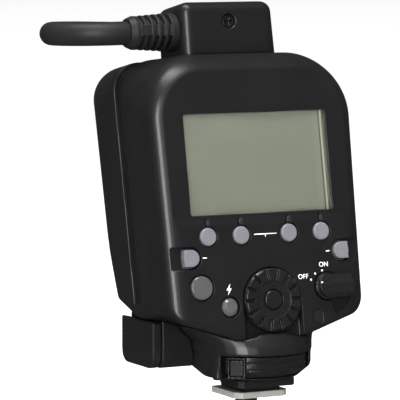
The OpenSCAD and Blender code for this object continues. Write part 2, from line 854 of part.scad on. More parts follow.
module battery_door() {
    color(black) on_panel() difference() {
        union() {
            difference() {
                intersection() {
                    body_form();
                    union() {
                        block(hinge_x - door_reach + door_gap, far, door_y0, door_y1,
                            door_z0 + knuckle_r + 2 * door_gap, door_z1);
                        block(hinge_x - knuckle_r, far, knuckle_y0, knuckle_y1, door_z0, door_z0 + lug_h);
                    }
                }
                body_form(door_t);
            }
            rod(hinge_x, door_z0, knuckle_r, knuckle_y0, knuckle_y1);
            for (c = cell_rows) block(door_block_x, side_x(c.x, c.y) - door_t / 2,
                c.x - door_block_half, c.x + door_block_half, c.y - door_block_half, c.y + door_block_half);
        }
        rod(hinge_x, door_z0, door_pin_r + run_gap, 0, far);
    }
}

module door_contacts() {
    color(steel) on_panel() for (c = cell_rows)
        block(door_block_x - contact_t, door_block_x, c.x - 4, c.x + 4, c.y - 4, c.y + 4);
}

module door_pin() {
    color(steel) on_panel()
        rod(hinge_x, door_z0, door_pin_r, door_y0, door_y1);
}

// Flash circuit under the battery bay
capacitor_r = 8.5;
capacitor_x0 = -23.5;
capacitor_l = 31;
capacitor_y = 23;
power_board_half = 24;
power_board_y0 = 14;
power_board_y1 = 33;
coil_x = 16.5;
coil_y = 23;
coil_half = 4.5;
coil_end_half = 7;
coil_end_t = 2;
coil_h = 13;

module power_board() {
    color(board_green) on_panel()
        block(-power_board_half, power_board_half, power_board_y0, power_board_y1,
            power_board_z, power_board_z + board_t);
}

module transformer() {
    color("#5a5148") on_panel() {
        z0 = power_board_z + board_t;
        for (z = [z0, z0 + coil_h - coil_end_t])
            block(coil_x - coil_end_half, coil_x + coil_end_half, coil_y - coil_end_half, coil_y + coil_end_half,
                z, z + coil_end_t);
        block(coil_x - coil_half, coil_x + coil_half, coil_y - coil_half, coil_y + coil_half, z0, z0 + coil_h);
    }
}

module main_capacitor() {
    color("#26282c") on_panel() translate([capacitor_x0, capacitor_y, bay_z - capacitor_r - 0.2])
        rotate([0, 90, 0]) rotate_extrude()
            polygon([[0, 0], [capacitor_r - 0.6, 0], [capacitor_r, 0.6], [capacitor_r, capacitor_l - 3],
                [capacitor_r - 0.7, capacitor_l - 2.4], [capacitor_r, capacitor_l - 1.8],
                [capacitor_r, capacitor_l], [0, capacitor_l]]);
}

// Cord housing on top, its screw and the ribbed strain relief
hood_wall = 2;
hood_screw_z = 90;
hood_seat_d = 1.6;
seat_gap = 0.02;
hood_draft = 0.4;

module hood_form(inset = 0) {
    r = hood_r - inset * 0.6;
    top = hood_top - inset - r;
    hull() for (sx = [-1, 1], y = [hood_y + inset + r, hood_y + hood_d - inset - r]) {
        translate([sx * (hood_w / 2 - hood_draft - inset - r), y, top]) sphere(r = r, $fn = hull_fn);
        translate([sx * (hood_w / 2 - inset - r), y, body_top - 8])
            cylinder(r = r, h = thin, $fn = hull_fn);
    }
}

module on_gland() {
    on_panel() translate([-hood_w / 2 + hood_draft, gland_y, gland_z]) rotate([0, -90, 0]) children();
}

module cord_housing() {
    color(black) difference() {
        on_panel() difference() {
            hood_form();
            difference() {
                hood_form(hood_wall);
                rod(0, hood_screw_z, 3, hood_y, hood_y + hood_d);
            }
            rod(0, hood_screw_z, screw_r + screw_gap, hood_y - 1, hood_y + 10);
            rod(0, hood_screw_z, 2.2, hood_y - 1, hood_y + hood_seat_d);
        }
        on_panel() body_form();
        on_gland() translate([0, 0, -hood_wall - 1]) cylinder(r = gland_core_r + screw_gap, h = hood_wall + 4);
    }
}

module housing_screw() {
    color("#1b1b1d") on_panel() translate([0, hood_y + hood_seat_d - seat_gap, hood_screw_z]) rotate([90, 0, 0])
        machine_screw(screw_r, 2, 1.1, 7);
}

rib_share = 0.55;
bar_w = 3.4;
gland_seat = 0.3;
gland_flange = 0.3;
gland_tip_l = 3.2;
gland_bevel_l = 1.8;
gland_root_l = 1.2;

// A strain relief along +z: a core, ribs that taper to the tip, and bars that join the ribs
module gland(root_in) {
    start = gland_seat + gland_root_l;
    pitch = (gland_l - gland_tip_l - start) / gland_ribs;
    translate([0, 0, -root_in]) cylinder(r = gland_core_r, h = gland_l + root_in);
    translate([0, 0, gland_seat]) cylinder(r = gland_root_r, h = gland_root_l + thin);
    for (k = [0 : gland_ribs - 1]) {
        r = gland_root_r + (gland_tip_r - gland_root_r) * k / gland_ribs;
        translate([0, 0, start + k * pitch]) cylinder(r = r, h = pitch * rib_share);
        for (turn = [-90, 90]) rotate(turn)
            translate([gland_core_r - 1, -bar_w / 2, start + k * pitch])
                cube([r - gland_core_r + 0.7, bar_w, pitch + 0.1]);
    }
    translate([0, 0, gland_l - gland_tip_l]) cylinder(r = gland_tip_r, h = gland_tip_l - gland_bevel_l + thin);
    translate([0, 0, gland_l - gland_bevel_l])
        cylinder(r1 = gland_tip_r, r2 = gland_tip_r - 0.7, h = gland_bevel_l);
}

module strain_relief() {
    color(rubber) on_gland() {
        gland(hood_wall);
        translate([0, 0, -hood_wall - 2.5]) cylinder(r = gland_core_r + gland_flange, h = 2.2);
        translate([0, 0, -hood_wall - 0.5]) cylinder(r = gland_core_r, h = 1);
    }
}

// Shoe foot and its column
neck_z = foot_t + rail_h;
seal_z0 = neck_z + 0.1;
boss_z0 = seal_z0 + seal_h;
chamber_z0 = boss_z0 + 0.8;
chamber_z1 = 14.3;
chamber_r = 14.6;
column_top = 16.8;
insert_half = 5.45;
insert_y0 = -5.8;
insert_y1 = 4.6;
insert_z = 0.3;
lock_pin_y = 6.2;
seal_cut = 1.4;
contacts = [[0, -0.6, 1.2], [-3.4, -3.6, 0.75], [3.4, -3.6, 0.75], [-3.4, 2.4, 0.75], [3.4, 2.4, 0.75]];
contact_out = 0.5;
contact_top = 8;
foot_screw_places = [[-3.9, -7.1], [3.9, -7.1], [-4.2, 6.4], [4.2, 6.4]];
foot_screw_r = 0.7;
foot_screw_head_r = 1.2;

module cut_rectangle(w, l, rear, front) {
    polygon([[-w / 2 + rear, -l / 2], [w / 2 - rear, -l / 2], [w / 2, -l / 2 + rear], [w / 2, l / 2 - front],
        [w / 2 - front, l / 2], [-w / 2 + front, l / 2], [-w / 2, l / 2 - front], [-w / 2, -l / 2 + rear]]);
}

module foot_plate() {
    color(steel) difference() {
        linear_extrude(foot_t) cut_rectangle(foot_w, foot_l, foot_cut, foot_front_cut);
        translate([-insert_half - screw_gap, insert_y0 - screw_gap, -1])
            cube([2 * (insert_half + screw_gap), insert_y1 - insert_y0 + 2 * screw_gap, foot_t + 2]);
        translate([0, lock_pin_y, -1]) cylinder(r = lock_pin_r + 0.1, h = foot_t + 2);
        for (p = foot_screw_places) translate([p.x, p.y, -1]) {
            cylinder(r = foot_screw_r + screw_gap, h = foot_t + 2);
            cylinder(r = foot_screw_head_r + screw_gap, h = 1.8);
        }
    }
}

module foot_column() {
    color(black) difference() {
        union() {
            translate([-insert_half, insert_y0, insert_z])
                cube([2 * insert_half, insert_y1 - insert_y0, foot_t]);
            translate([-neck_w / 2, -neck_l / 2, foot_t]) cube([neck_w, neck_l, rail_h]);
            translate([0, 0, neck_z - thin]) cylinder(r = column_r, h = column_top - neck_z);
        }
        for (c = contacts) translate([c.x, c.y, -1]) cylinder(r = c[2] + run_gap, h = contact_top + 2);
        translate([0, lock_pin_y, 0]) cylinder(r = lock_pin_r + run_gap, h = 13);
        for (p = foot_screw_places) translate([p.x, p.y, 0]) cylinder(r = foot_screw_r + screw_gap, h = neck_z - 0.1);
    }
}

module foot_screws() {
    color(steel) for (p = foot_screw_places) translate([p.x, p.y, 0.78]) rotate([180, 0, 0])
        machine_screw(foot_screw_r, foot_screw_head_r, 0.7, neck_z - 1);
}

module contact_pins() {
    color("#c9a65a") for (c = contacts) translate([c.x, c.y, -contact_out]) {
        translate([0, 0, 0.3]) cylinder(r = c[2], h = contact_top + contact_out - 0.3);
        cylinder(r1 = c[2] - 0.3, r2 = c[2], h = 0.3 + thin);
    }
}

module lock_pin() {
    color(steel) translate([0, lock_pin_y, 0.4]) cylinder(r = lock_pin_r, h = 10);
}

module weather_seal() {
    color(rubber) difference() {
        translate([0, 0, seal_z0]) linear_extrude(seal_h - 0.1) {
            circle(r = seal_r);
            translate([0, -seal_rear / 2]) cut_rectangle(seal_w, seal_rear, seal_cut, 0);
        }
        cylinder(r = column_r + screw_gap, h = 20);
    }
}

// Round boss under the body, with the lock lever's window at the rear.
// Angles are counted from -Y towards +X.
window_a0 = -57;
window_a1 = 48;
band_a0 = -53;
band_a1 = 50;
band_r = 18.1;
band_in = 15;
band_z0 = chamber_z0 + lever_gap;
band_z1 = chamber_z1 - lever_gap;
arm_z0 = 9.6;
arm_z1 = 11.4;
button_a = -41;
button_w = 4;
button_h = 5;
guard = 0.8;
channel_share = 0.85;
window_in = 0.1;
window_rib_a = -62;
window_rib_r = 1.9;
window_rib_out = 0.2;
// The boss's top spreads into the body. Each ring: height above the boss's straight side, and how far
// its sides, its rear and its front lie outside the boss.
shoulder_rows = [[-0.9, 0.35, 0.35, 0.35], [1.5, 0.5, -0.1, 0.4], [3.3, 1.4, -1.3, 1],
    [5.1, 3.4, -2.8, 2.4], [7.3, 6, -4.4, 4.6]];
shoulder_rings = [for (q = shoulder_rows) [boss_top + q[0], boss_r + q[1], -boss_r - q[2], boss_r + q[3]]];
shoulder_sides = 36;

module sweep_sector(a0, a1) {
    rotate(a0 - 90) rotate_extrude(angle = a1 - a0) children();
}

// Profile of the lever's band, which follows the boss's chamfer
module band_profile(grow = 0) {
    chamfer_in = (boss_r - boss_low_r) / boss_chamfer;
    grow_z = grow * channel_share;
    low_r = boss_low_r + (band_z0 - grow - boss_z0) * chamfer_in - (boss_r - band_r) + grow;
    turn_z = boss_z0 + boss_chamfer;
    polygon([[chamber_r - 1, band_z0 - grow_z], [max(low_r, chamber_r - 0.5), band_z0 - grow_z],
        [band_r + grow, turn_z + grow / 2], [band_r + grow, band_z1 + grow_z], [chamber_r - 1, band_z1 + grow_z]]);
}

module base_outer() {
    rotate_extrude() polygon([[0, boss_z0], [boss_low_r, boss_z0], [boss_r - 0.3, boss_z0 + boss_chamfer],
        [boss_r, boss_z0 + boss_chamfer + 0.8], [boss_r, boss_top], [0, boss_top]]);
    loft([for (q = shoulder_rings) [for (k = [0 : shoulder_sides - 1]) let (a = k * 360 / shoulder_sides)
        [q[1] * cos(a), (q[2] + q[3]) / 2 + (q[3] - q[2]) / 2 * sin(a), q[0]]]]);
    rotate(window_rib_a - 90) translate([boss_r + window_rib_out - window_rib_r, 0, boss_z0 + 0.3])
        cylinder(r = window_rib_r, h = boss_top - boss_z0 - 0.3);
}

module base_casing() {
    color(black) difference() {
        base_outer();
        on_panel() {
            body_form();
            rod(dial_x, dial_z, pit_r, -2 * dial_rise, pit_d);
        }
        translate([0, 0, chamber_z0]) cylinder(r = chamber_r, h = chamber_z1 - chamber_z0);
        cylinder(r = column_r + screw_gap, h = column_top);
        sweep_sector(band_a0 - 3, band_a1 + lever_turn + 3) band_profile(lever_gap);
        sweep_sector(window_a0, window_a1) translate([chamber_r - 0.3, chamber_z0 + window_in])
            square([far, chamber_z1 - chamber_z0 - 2 * window_in]);
    }
}

module lever_pocket(grow, r0, r1) {
    rotate(button_a - 90) translate([r0, -button_w / 2 - grow, (band_z0 + band_z1 - button_h) / 2 - grow])
        cube([r1 - r0, button_w + 2 * grow, button_h + 2 * grow]);
}

module lock_lever() {
    color(black) difference() {
        union() {
            sweep_sector(band_a0, band_a1) difference() {
                band_profile();
                square([band_in - 1, 30]);
            }
            translate([0, 0, arm_z0]) cylinder(r = column_r + 2, h = arm_z1 - arm_z0);
            sweep_sector(band_a0, band_a1) translate([column_r + 1, arm_z0])
                square([band_in - column_r, arm_z1 - arm_z0]);
            lever_pocket(guard, band_r - 1.5, boss_r - 0.2);
        }
        translate([0, 0, arm_z0 - 1]) cylinder(r = column_r + run_gap, h = 4);
        lever_pocket(0.2, band_in - 0.2, far);
    }
}

module lock_release_button() {
    color(black) lever_pocket(0, band_in + 1, boss_r - 0.3);
}

// Power socket on the left, with its cover
cover_gap = 0.2;
block_x = cover_x - cover_t - cover_gap;
block_x1 = -12;
socket_y = block_y + block_l / 2;
socket_z = block_z + cover_h / 2 - 0.6;
cover_r = 4;
block_r = 3;
block_reach = 20;
socket_pin_l = 2.2;
// The body's lowest outline over the cover, with the cover's gap, seen along y
corner_outline = [for (p = right_outline(blend_d, -cover_gap))
    [-p.x, panel_z - blend_d * sin(panel_tilt) + p.y * cos(panel_tilt)]];

module rounded_side(y0, l, z0, h, r) {
    translate([y0 + r, z0 + r]) circle(r = r);
    translate([y0 + l - r, z0 + r]) circle(r = r);
    translate([y0, z0 + r]) square([l, h - r]);
    translate([y0 + r, z0]) square([l - 2 * r, h]);
}

module socket_housing() {
    color(black) difference() {
        translate([-block_x, 0, 0]) rotate([90, 0, 90]) linear_extrude(block_x + block_x1)
            rounded_side(block_y, block_l, block_z, block_reach, block_r);
        on_panel() body_form();
        base_outer();
        translate([-block_x - 1, socket_y - socket_l / 2, socket_z - socket_h / 2])
            cube([socket_d + 1, socket_l, socket_h]);
    }
}

module socket_pins() {
    color("#c9a65a") for (k = [-1, 0, 1])
        translate([-block_x + socket_d - socket_pin_l, socket_y + k * 3.6, socket_z]) rotate([0, 90, 0])
            cylinder(r = 0.8, h = socket_pin_l);
}

module socket_cover() {
    color(rubber) difference() {
        translate([-cover_x, 0, 0]) rotate([90, 0, 90]) linear_extrude(cover_t)
            rounded_side(block_y, block_l, block_z, cover_h, cover_r);
        slab(-far, far) polygon(corner_outline);
    }
}

// Ring head, drawn along its own axis: z towards the subject, x to the right, y down
ring_r = ring_od / 2;
bore_r = ring_bore / 2;
ring_half = ring_t / 2;
ring_mid_r = (ring_r + bore_r) / 2;
split_z = 1;
tube_wall_r = bore_r + ring_wall;
front_in_r = tube_wall_r + 0.3;
ring_pillar_turns = [45, 135, 225, 315];
ring_screw_z = -ring_half + 1.6;
ring_board_z = -3.4;
window_r0 = front_in_r + 2.3;
window_r1 = ring_r - ring_wall - 2.3;
latch_z0 = -9.3;
latch_z1 = -5.7;
latch_half = 3.5;
latch_clear = 0.1;
counterbore_in = 1.2;
board_in = 3.2;
latch_x1 = 44.5;
release_half = 7;
release_r = 24;
release_z0 = -10.2;
release_z1 = -4.8;
release_x0 = 50;
release_x1 = ring_r + 6.5;
ear_x1 = ring_r + 4.6;
ear_half = 10;
ear_in = 6;
ear_z1 = -1.6;
lamp_r = 3.2;

module at_ring() {
    translate([ring_x, ring_y, -ring_drop]) rotate([-90, 0, 0]) children();
}

module ring_profile(r0, r1, z0, z1) {
    rotate_extrude($fn = 128) translate([r0, z0]) square([r1 - r0, z1 - z0]);
}

module ring_sector(half) {
    for (turn = [-half, 180 - half]) rotate(turn) rotate_extrude(angle = 2 * half) children();
}

module ring_rear_housing() {
    color(black) at_ring() difference() {
        union() {
            ring_profile(ring_r - ring_wall, ring_r, -ring_half, split_z);
            ring_profile(bore_r, ring_r, -ring_half, -ring_half + ring_wall);
            ring_profile(bore_r, tube_wall_r, -ring_half, ring_half - 0.2);
            for (turn = ring_pillar_turns) rotate(turn) translate([ring_mid_r, 0, -ring_half])
                cylinder(r = 2.8, h = ring_half + ring_board_z);
            for (side = [0, 180]) rotate(side) difference() {
                translate([ring_r - ear_in, -ear_half, -ring_half])
                    cube([ear_x1 - ring_r + ear_in, 2 * ear_half, ear_z1 + ring_half]);
                translate([0, 0, -ring_half - 1]) cylinder(r = ring_r - ring_wall, h = ring_t);
            }
        }
        for (turn = ring_pillar_turns) rotate(turn) translate([ring_mid_r, 0, -ring_half - 1]) {
            cylinder(r = screw_r + screw_gap, h = 9);
            cylinder(r = screw_head_r + screw_gap, h = 2.62);
        }
        translate([0, 0, -ring_half - 1])
            cylinder(r = bore_r + counterbore_in, h = ring_half + 1 + latch_z1 + 0.3, $fn = 128);
        for (side = [0, 180]) rotate(side) {
            translate([bore_r - 3, -latch_half - 0.3, latch_z0 - 0.3])
                cube([8, 2 * latch_half + 0.6, latch_z1 - latch_z0 + 0.6]);
            translate([release_x0, -release_half - 0.3, release_z0 - 0.3])
                cube([far, 2 * release_half + 0.6, release_z1 - release_z0 + 0.6]);
        }
        translate([0, -ring_r + ring_wall + 2, ring_gland_z]) rotate([90, 0, 0])
            cylinder(r = gland_core_r + screw_gap, h = 20);
    }
}

module ring_front_housing() {
    color(black) at_ring() difference() {
        union() {
            ring_profile(ring_r - ring_wall, ring_r, split_z, ring_half);
            ring_profile(front_in_r, ring_r, ring_half - ring_wall, ring_half);
        }
        ring_sector(window_half) translate([window_r0, ring_half - ring_wall - 1])
            square([window_r1 - window_r0, ring_wall + 2]);
        for (turn = [90, 270]) rotate(turn) translate([ring_mid_r, 0, ring_half - ring_wall - 1])
            cylinder(r = lamp_r + screw_gap, h = ring_wall + 2);
    }
}

ring_gland_z = -5;
ring_gland_in = 0.05;
cord_gap = 0.05;

module ring_strain_relief() {
    color(rubber) at_ring() translate([0, -ring_r + ring_gland_in, ring_gland_z]) rotate([90, 0, 0]) {
        gland(ring_wall);
        translate([0, 0, -ring_wall - 2.4]) cylinder(r = gland_core_r + 0.8, h = 2);
        translate([0, 0, -ring_wall - 0.5]) cylinder(r = gland_core_r, h = 1);
    }
}

// The cord: out to the left, round in a level loop, back behind the body and down to the ring
cord_y = -panel_y + gland_y * cos(panel_tilt) + gland_z * sin(panel_tilt);
cord_z = panel_z - gland_y * sin(panel_tilt) + gland_z * cos(panel_tilt);
cord_x0 = -hood_w / 2 + hood_draft - gland_l - cord_gap;
cord_z1 = -ring_drop + ring_r - ring_gland_in + gland_l + cord_gap;
drop_y = ring_y + ring_gland_z;
loop_x = -34.7;
loop_r = (drop_y - cord_y) / 2;
loop_drop = 0.95;
run_drop = 1.2;
bend_r = 18;
bend_x = ring_x - bend_r;
bend_z = cord_z - loop_drop - run_drop - bend_r;
loop_steps = 12;
run_steps = 5;
bend_steps = 6;
cord_loop = [for (k = [0 : loop_steps]) let (a = 270 - k * 180 / loop_steps)
    [loop_x + loop_r * cos(a), cord_y + loop_r + loop_r * sin(a), cord_z - loop_drop * k / loop_steps]];
cord_run = [for (k = [1 : run_steps - 1])
    [loop_x + (bend_x - loop_x) * k / run_steps, drop_y, cord_z - loop_drop - run_drop * k / run_steps]];
cord_bend = [for (k = [0 : bend_steps]) let (a = 90 - k * 90 / bend_steps)
    [bend_x + bend_r * cos(a), drop_y, bend_z + bend_r * sin(a)]];
cord_route = concat([[cord_x0, cord_y, cord_z]], cord_loop, cord_run, cord_bend,
    [[ring_x, drop_y, (bend_z + cord_z1) / 2], [ring_x, drop_y, cord_z1]]);
cord_sides = 12;
cord_ref = [1, 0.2, 1];

function unit(v) = v / norm(v);
function cord_heading(i) = i == 0 ? [-1, 0, 0]
    : i == len(cord_route) - 1 ? [0, 0, -1]
    : unit(cord_route[i + 1] - cord_route[i - 1]);
function cord_ring(i) = let (t = cord_heading(i), n = unit(cross(t, cord_ref)), b = cross(t, n))
    [for (k = [0 : cord_sides - 1])
        cord_route[i] + cord_d / 2 * (cos(k * 360 / cord_sides) * n + sin(k * 360 / cord_sides) * b)];

module flash_cord() {
    color(rubber) loft([for (i = [0 : len(cord_route) - 1]) cord_ring(i)]);
}

reflector_t = 0.8;
reflector_z0 = ring_board_z + board_t + 0.1;
reflector_z1 = ring_half - ring_wall - 1.4;

module flash_tubes() {
    color([0.9, 0.9, 0.95, 0.5]) at_ring() ring_sector(window_half - 4)
        translate([ring_mid_r, reflector_z0 + reflector_t + tube_r + 0.6]) circle(r = tube_r);
}

module tube_reflectors() {
    color("#d9d9d6") at_ring() ring_sector(window_half - 2) polygon([
        [window_r0, reflector_z1], [window_r0 + 2, reflector_z0], [window_r1 - 2, reflector_z0],
        [window_r1, reflector_z1], [window_r1 - reflector_t, reflector_z1],
        [window_r1 - 2 - reflector_t / 2, reflector_z0 + reflector_t],
        [window_r0 + 2 + reflector_t / 2, reflector_z0 + reflector_t], [window_r0 + reflector_t, reflector_z1]]);
}

module diffuser_windows() {
    color([0.93, 0.93, 0.9, 0.8]) at_ring() {
        ring_sector(window_half - 0.15) translate([window_r0 + 0.1, ring_half - ring_wall - thin])
            square([window_r1 - window_r0 - 0.2, ring_wall]);
        ring_sector(window_half + 2) translate([window_r0 - 1.2, ring_half - ring_wall - 1.2])
            square([window_r1 - window_r0 + 2.4, 1.2]);
    }
}

module focus_lamps() {
    color("#d9dbe0") at_ring() for (turn = [90, 270]) rotate(turn) translate([ring_mid_r, 0, 0]) {
        translate([0, 0, ring_board_z + board_t + 0.1])
            cylinder(r = 2.5, h = ring_half - ring_wall - ring_board_z - board_t - 0.1);
        translate([0, 0, ring_half - ring_wall - 1.2]) cylinder(r = lamp_r + 1, h = 1.1);
        translate([0, 0, ring_half - ring_wall - 0.2]) cylinder(r = lamp_r, h = ring_wall);
    }
}

module ring_board() {
    color(board_green) at_ring() ring_profile(tube_wall_r + 0.6, ring_r - ring_wall - board_in,
        ring_board_z + 0.05, ring_board_z + board_t);
}

module release_button(side) {
    at_ring() rotate(side) intersection() {
        translate([release_x0, -release_half, release_z0])
            cube([release_x1 - release_x0, 2 * release_half, release_z1 - release_z0]);
        translate([release_x1 - release_r, 0, release_z0 - 1]) cylinder(r = release_r, h = ring_t);
    }
}

module latch(side) {
    at_ring() rotate(side) difference() {
        translate([bore_r + latch_clear, -latch_half, latch_z0])
            cube([latch_x1 - bore_r - latch_clear, 2 * latch_half, latch_z1 - latch_z0]);
        translate([bore_r + latch_clear - 1, -far, latch_z0 - 2]) rotate([0, 45, 0])
            cube([2, 2 * far, 2]);
    }
}

module release_button_left() { color(grey) release_button(180); }
module release_button_right() { color(grey) release_button(0); }
module latch_left() { color(steel) latch(180); }
module latch_right() { color(steel) latch(0); }

rear_casing();
front_casing();
centre_frame();
lcd_window();
lcd_panel();
lcd_backlight();
lcd_holder();
main_board();
key_mat();
panel_encoders();
confirm_lamp();
power_board();
transformer();
main_capacitor();
battery_holder();
battery_cells();
battery_contacts();
battery_door();
door_contacts();
door_pin();
casing_screws();
select_dial();
set_button();
function_button_1();
function_button_2();
function_button_3();
function_button_4();
lamp_button();
ratio_button();
mode_button();
test_button();
power_switch();
cord_housing();
housing_screw();
strain_relief();
flash_cord();
base_casing();
foot_column();
foot_plate();
foot_screws();
weather_seal();
contact_pins();
lock_lever();
lock_release_button();
lock_pin();
socket_housing();
socket_pins();
socket_cover();
ring_rear_housing();
ring_front_housing();
ring_strain_relief();
flash_tubes();
tube_reflectors();
diffuser_windows();
focus_lamps();
ring_board();
release_button_left();
release_button_right();
latch_left();
latch_right();
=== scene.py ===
import math

import bmesh
import bpy
from mathutils import Matrix, Vector


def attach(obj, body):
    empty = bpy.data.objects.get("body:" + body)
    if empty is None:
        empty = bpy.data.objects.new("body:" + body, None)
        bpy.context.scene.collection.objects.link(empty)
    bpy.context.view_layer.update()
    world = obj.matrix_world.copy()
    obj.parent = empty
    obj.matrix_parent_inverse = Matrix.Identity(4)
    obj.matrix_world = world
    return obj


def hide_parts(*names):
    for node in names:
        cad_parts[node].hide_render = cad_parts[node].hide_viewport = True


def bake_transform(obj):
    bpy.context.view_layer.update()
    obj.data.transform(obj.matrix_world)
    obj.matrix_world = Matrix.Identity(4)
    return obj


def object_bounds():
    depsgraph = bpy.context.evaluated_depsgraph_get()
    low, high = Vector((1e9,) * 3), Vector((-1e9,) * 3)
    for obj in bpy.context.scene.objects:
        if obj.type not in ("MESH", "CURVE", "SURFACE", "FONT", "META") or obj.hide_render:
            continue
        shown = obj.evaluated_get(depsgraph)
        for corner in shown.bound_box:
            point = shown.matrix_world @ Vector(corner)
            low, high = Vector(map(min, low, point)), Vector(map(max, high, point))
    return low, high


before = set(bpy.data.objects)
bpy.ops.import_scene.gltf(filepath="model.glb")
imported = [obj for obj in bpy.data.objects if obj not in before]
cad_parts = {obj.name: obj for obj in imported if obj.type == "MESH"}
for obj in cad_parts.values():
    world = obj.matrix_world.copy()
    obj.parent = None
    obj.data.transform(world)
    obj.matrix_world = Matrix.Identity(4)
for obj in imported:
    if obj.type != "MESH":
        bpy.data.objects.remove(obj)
cadBox = [list(corner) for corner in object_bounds()]
scene = bpy.context.scene
mm = 0.001

# Camera, from the photograph: the foot's middle lies right of and below the frame's middle
cameraView = {
    "turn": -27.0, "rise": 5.5, "distance": 0.9411, "lens": 270.0, "sensor": 36.0, "reach": 200.0,
    "footRight": 0.015685, "footDown": 0.060701,
}
turn = math.radians(cameraView["turn"])
rise = math.radians(cameraView["rise"])
towards = Vector((math.sin(turn) * math.cos(rise), -math.cos(turn) * math.cos(rise), math.sin(rise)))
rightward = Vector((math.cos(turn), math.sin(turn), 0.0))
upward = towards.cross(rightward)
cameraData = bpy.data.cameras.new("photoCamera")
cameraData.lens = cameraView["lens"]
cameraData.sensor_width = cameraView["sensor"]
cameraData.clip_end = cameraView["reach"]
camera = bpy.data.objects.new("photoCamera", cameraData)
scene.collection.objects.link(camera)
cameraTurn = Matrix((rightward, upward, towards)).transposed().to_4x4()
cameraPlace = towards * cameraView["distance"] - rightward * cameraView["footRight"]
cameraPlace += upward * cameraView["footDown"]
camera.matrix_world = Matrix.Translation(cameraPlace) @ cameraTurn
scene.camera = camera
scene.view_settings.view_transform = "Standard"
print("camera set")

# Panel frame: x right, y into the body, z up along the panel, in millimetres
panelFrame = {"tilt": 10.5, "y": -13.85, "z": 30}
panelTilt = math.radians(panelFrame["tilt"])
metres = Matrix.Scale(mm, 4)
panelFoot = Matrix.Translation((0, panelFrame["y"] * mm, panelFrame["z"] * mm))
onPanel = panelFoot @ Matrix.Rotation(-panelTilt, 4, "X") @ metres
inPanel = onPanel.inverted()

# Range in which most of a noise texture's values lie
noiseLow = 0.3
noiseHigh = 0.7


def makeMaterial(name, look):
    material = bpy.data.materials.new(name)
    material.use_nodes = True
    nodes = material.node_tree.nodes
    links = material.node_tree.links
    shader = nodes["Principled BSDF"]
    place = nodes.new("ShaderNodeTexCoord")
    grain = nodes.new("ShaderNodeTexNoise")
    grain.inputs["Scale"].default_value = look.get("grain", 3500)
    grain.inputs["Detail"].default_value = look.get("detail", 3)
    links.new(place.outputs["Object"], grain.inputs["Vector"])
    cloud = nodes.new("ShaderNodeTexNoise")
    cloud.inputs["Scale"].default_value = look.get("cloud", 90)
    cloud.inputs["Detail"].default_value = 4
    links.new(place.outputs["Object"], cloud.inputs["Vector"])
    tint = nodes.new("ShaderNodeValToRGB")
    spread = look.get("spread", 0.12)
    dark = [c * (1 - spread) for c in look["base"]]
    light = [min(1, c * (1 + spread)) for c in look["base"]]
    tint.color_ramp.elements[0].position = noiseLow
    tint.color_ramp.elements[1].position = noiseHigh
    tint.color_ramp.elements[0].color = (*dark, 1)
    tint.color_ramp.elements[1].color = (*light, 1)
    links.new(cloud.outputs["Fac"], tint.inputs["Fac"])
    colour = tint.outputs["Color"]
    # Optional painted highlight: a colour ramp across object x multiplies the colour, giving a slightly
    # lighter band, darker lines and a bright painted highlight strip
    if "band" in look:
        split = nodes.new("ShaderNodeSeparateXYZ")
        links.new(place.outputs["Object"], split.inputs["Vector"])
        across = nodes.new("ShaderNodeMapRange")
        across.inputs["From Min"].default_value = look["band"][0]
        across.inputs["From Max"].default_value = look["band"][1]
        links.new(split.outputs["X"], across.inputs["Value"])
        highlightStrip = nodes.new("ShaderNodeValToRGB")
        highlightStops = highlightStrip.color_ramp.elements
        for position, level in look["highlightStops"]:
            stop = highlightStops[0] if position == 0 else highlightStops.new(position)
            stop.color = (level, level, level, 1)
        links.new(across.outputs["Result"], highlightStrip.inputs["Fac"])
        highlightedColour = nodes.new("ShaderNodeMix")
        highlightedColour.data_type = "RGBA"
        highlightedColour.blend_type = "MULTIPLY"
        highlightedColour.inputs["Factor"].default_value = 1
        links.new(colour, highlightedColour.inputs["A"])
        links.new(highlightStrip.outputs["Color"], highlightedColour.inputs["B"])
        colour = highlightedColour.outputs["Result"]
    links.new(colour, shader.inputs["Base Color"])
    rough = nodes.new("ShaderNodeMapRange")
    roughSpread = look.get("roughSpread", 0.05)
    rough.inputs["From Min"].default_value = noiseLow
    rough.inputs["From Max"].default_value = noiseHigh
    rough.inputs["To Min"].default_value = look["rough"] - roughSpread
    rough.inputs["To Max"].default_value = look["rough"] + roughSpread
    links.new(grain.outputs["Fac"], rough.inputs["Value"])
    links.new(rough.outputs["Result"], shader.inputs["Roughness"])
    bump = nodes.new("ShaderNodeBump")
    bump.inputs["Strength"].default_value = look.get("bump", 0.15)
    bump.inputs["Distance"].default_value = look.get("bumpDepth", 0.00005)
    links.new(grain.outputs["Fac"], bump.inputs["Height"])
    links.new(bump.outputs["Normal"], shader.inputs["Normal"])
    shader.inputs["Emission Color"].default_value = (1, 1, 1, 1)
    shader.inputs["Emission Strength"].default_value = look.get("glow", 0)
    shader.inputs["Metallic"].default_value = look.get("metallic", 0)
    shader.inputs["Specular IOR Level"].default_value = look.get("specular", 0.5)
    shader.inputs["Transmission Weight"].default_value = look.get("clear", 0)
    shader.inputs["IOR"].default_value = look.get("ior", 1.5)
    shader.inputs["Coat Weight"].default_value = look.get("coat", 0)
    shader.inputs["Coat Roughness"].default_value = look.get("coatRough", 0.1)
    shader.inputs["Subsurface Weight"].default_value = look.get("under", 0)
    shader.inputs["Subsurface Radius"].default_value = (0.001, 0.001, 0.001)
    return material


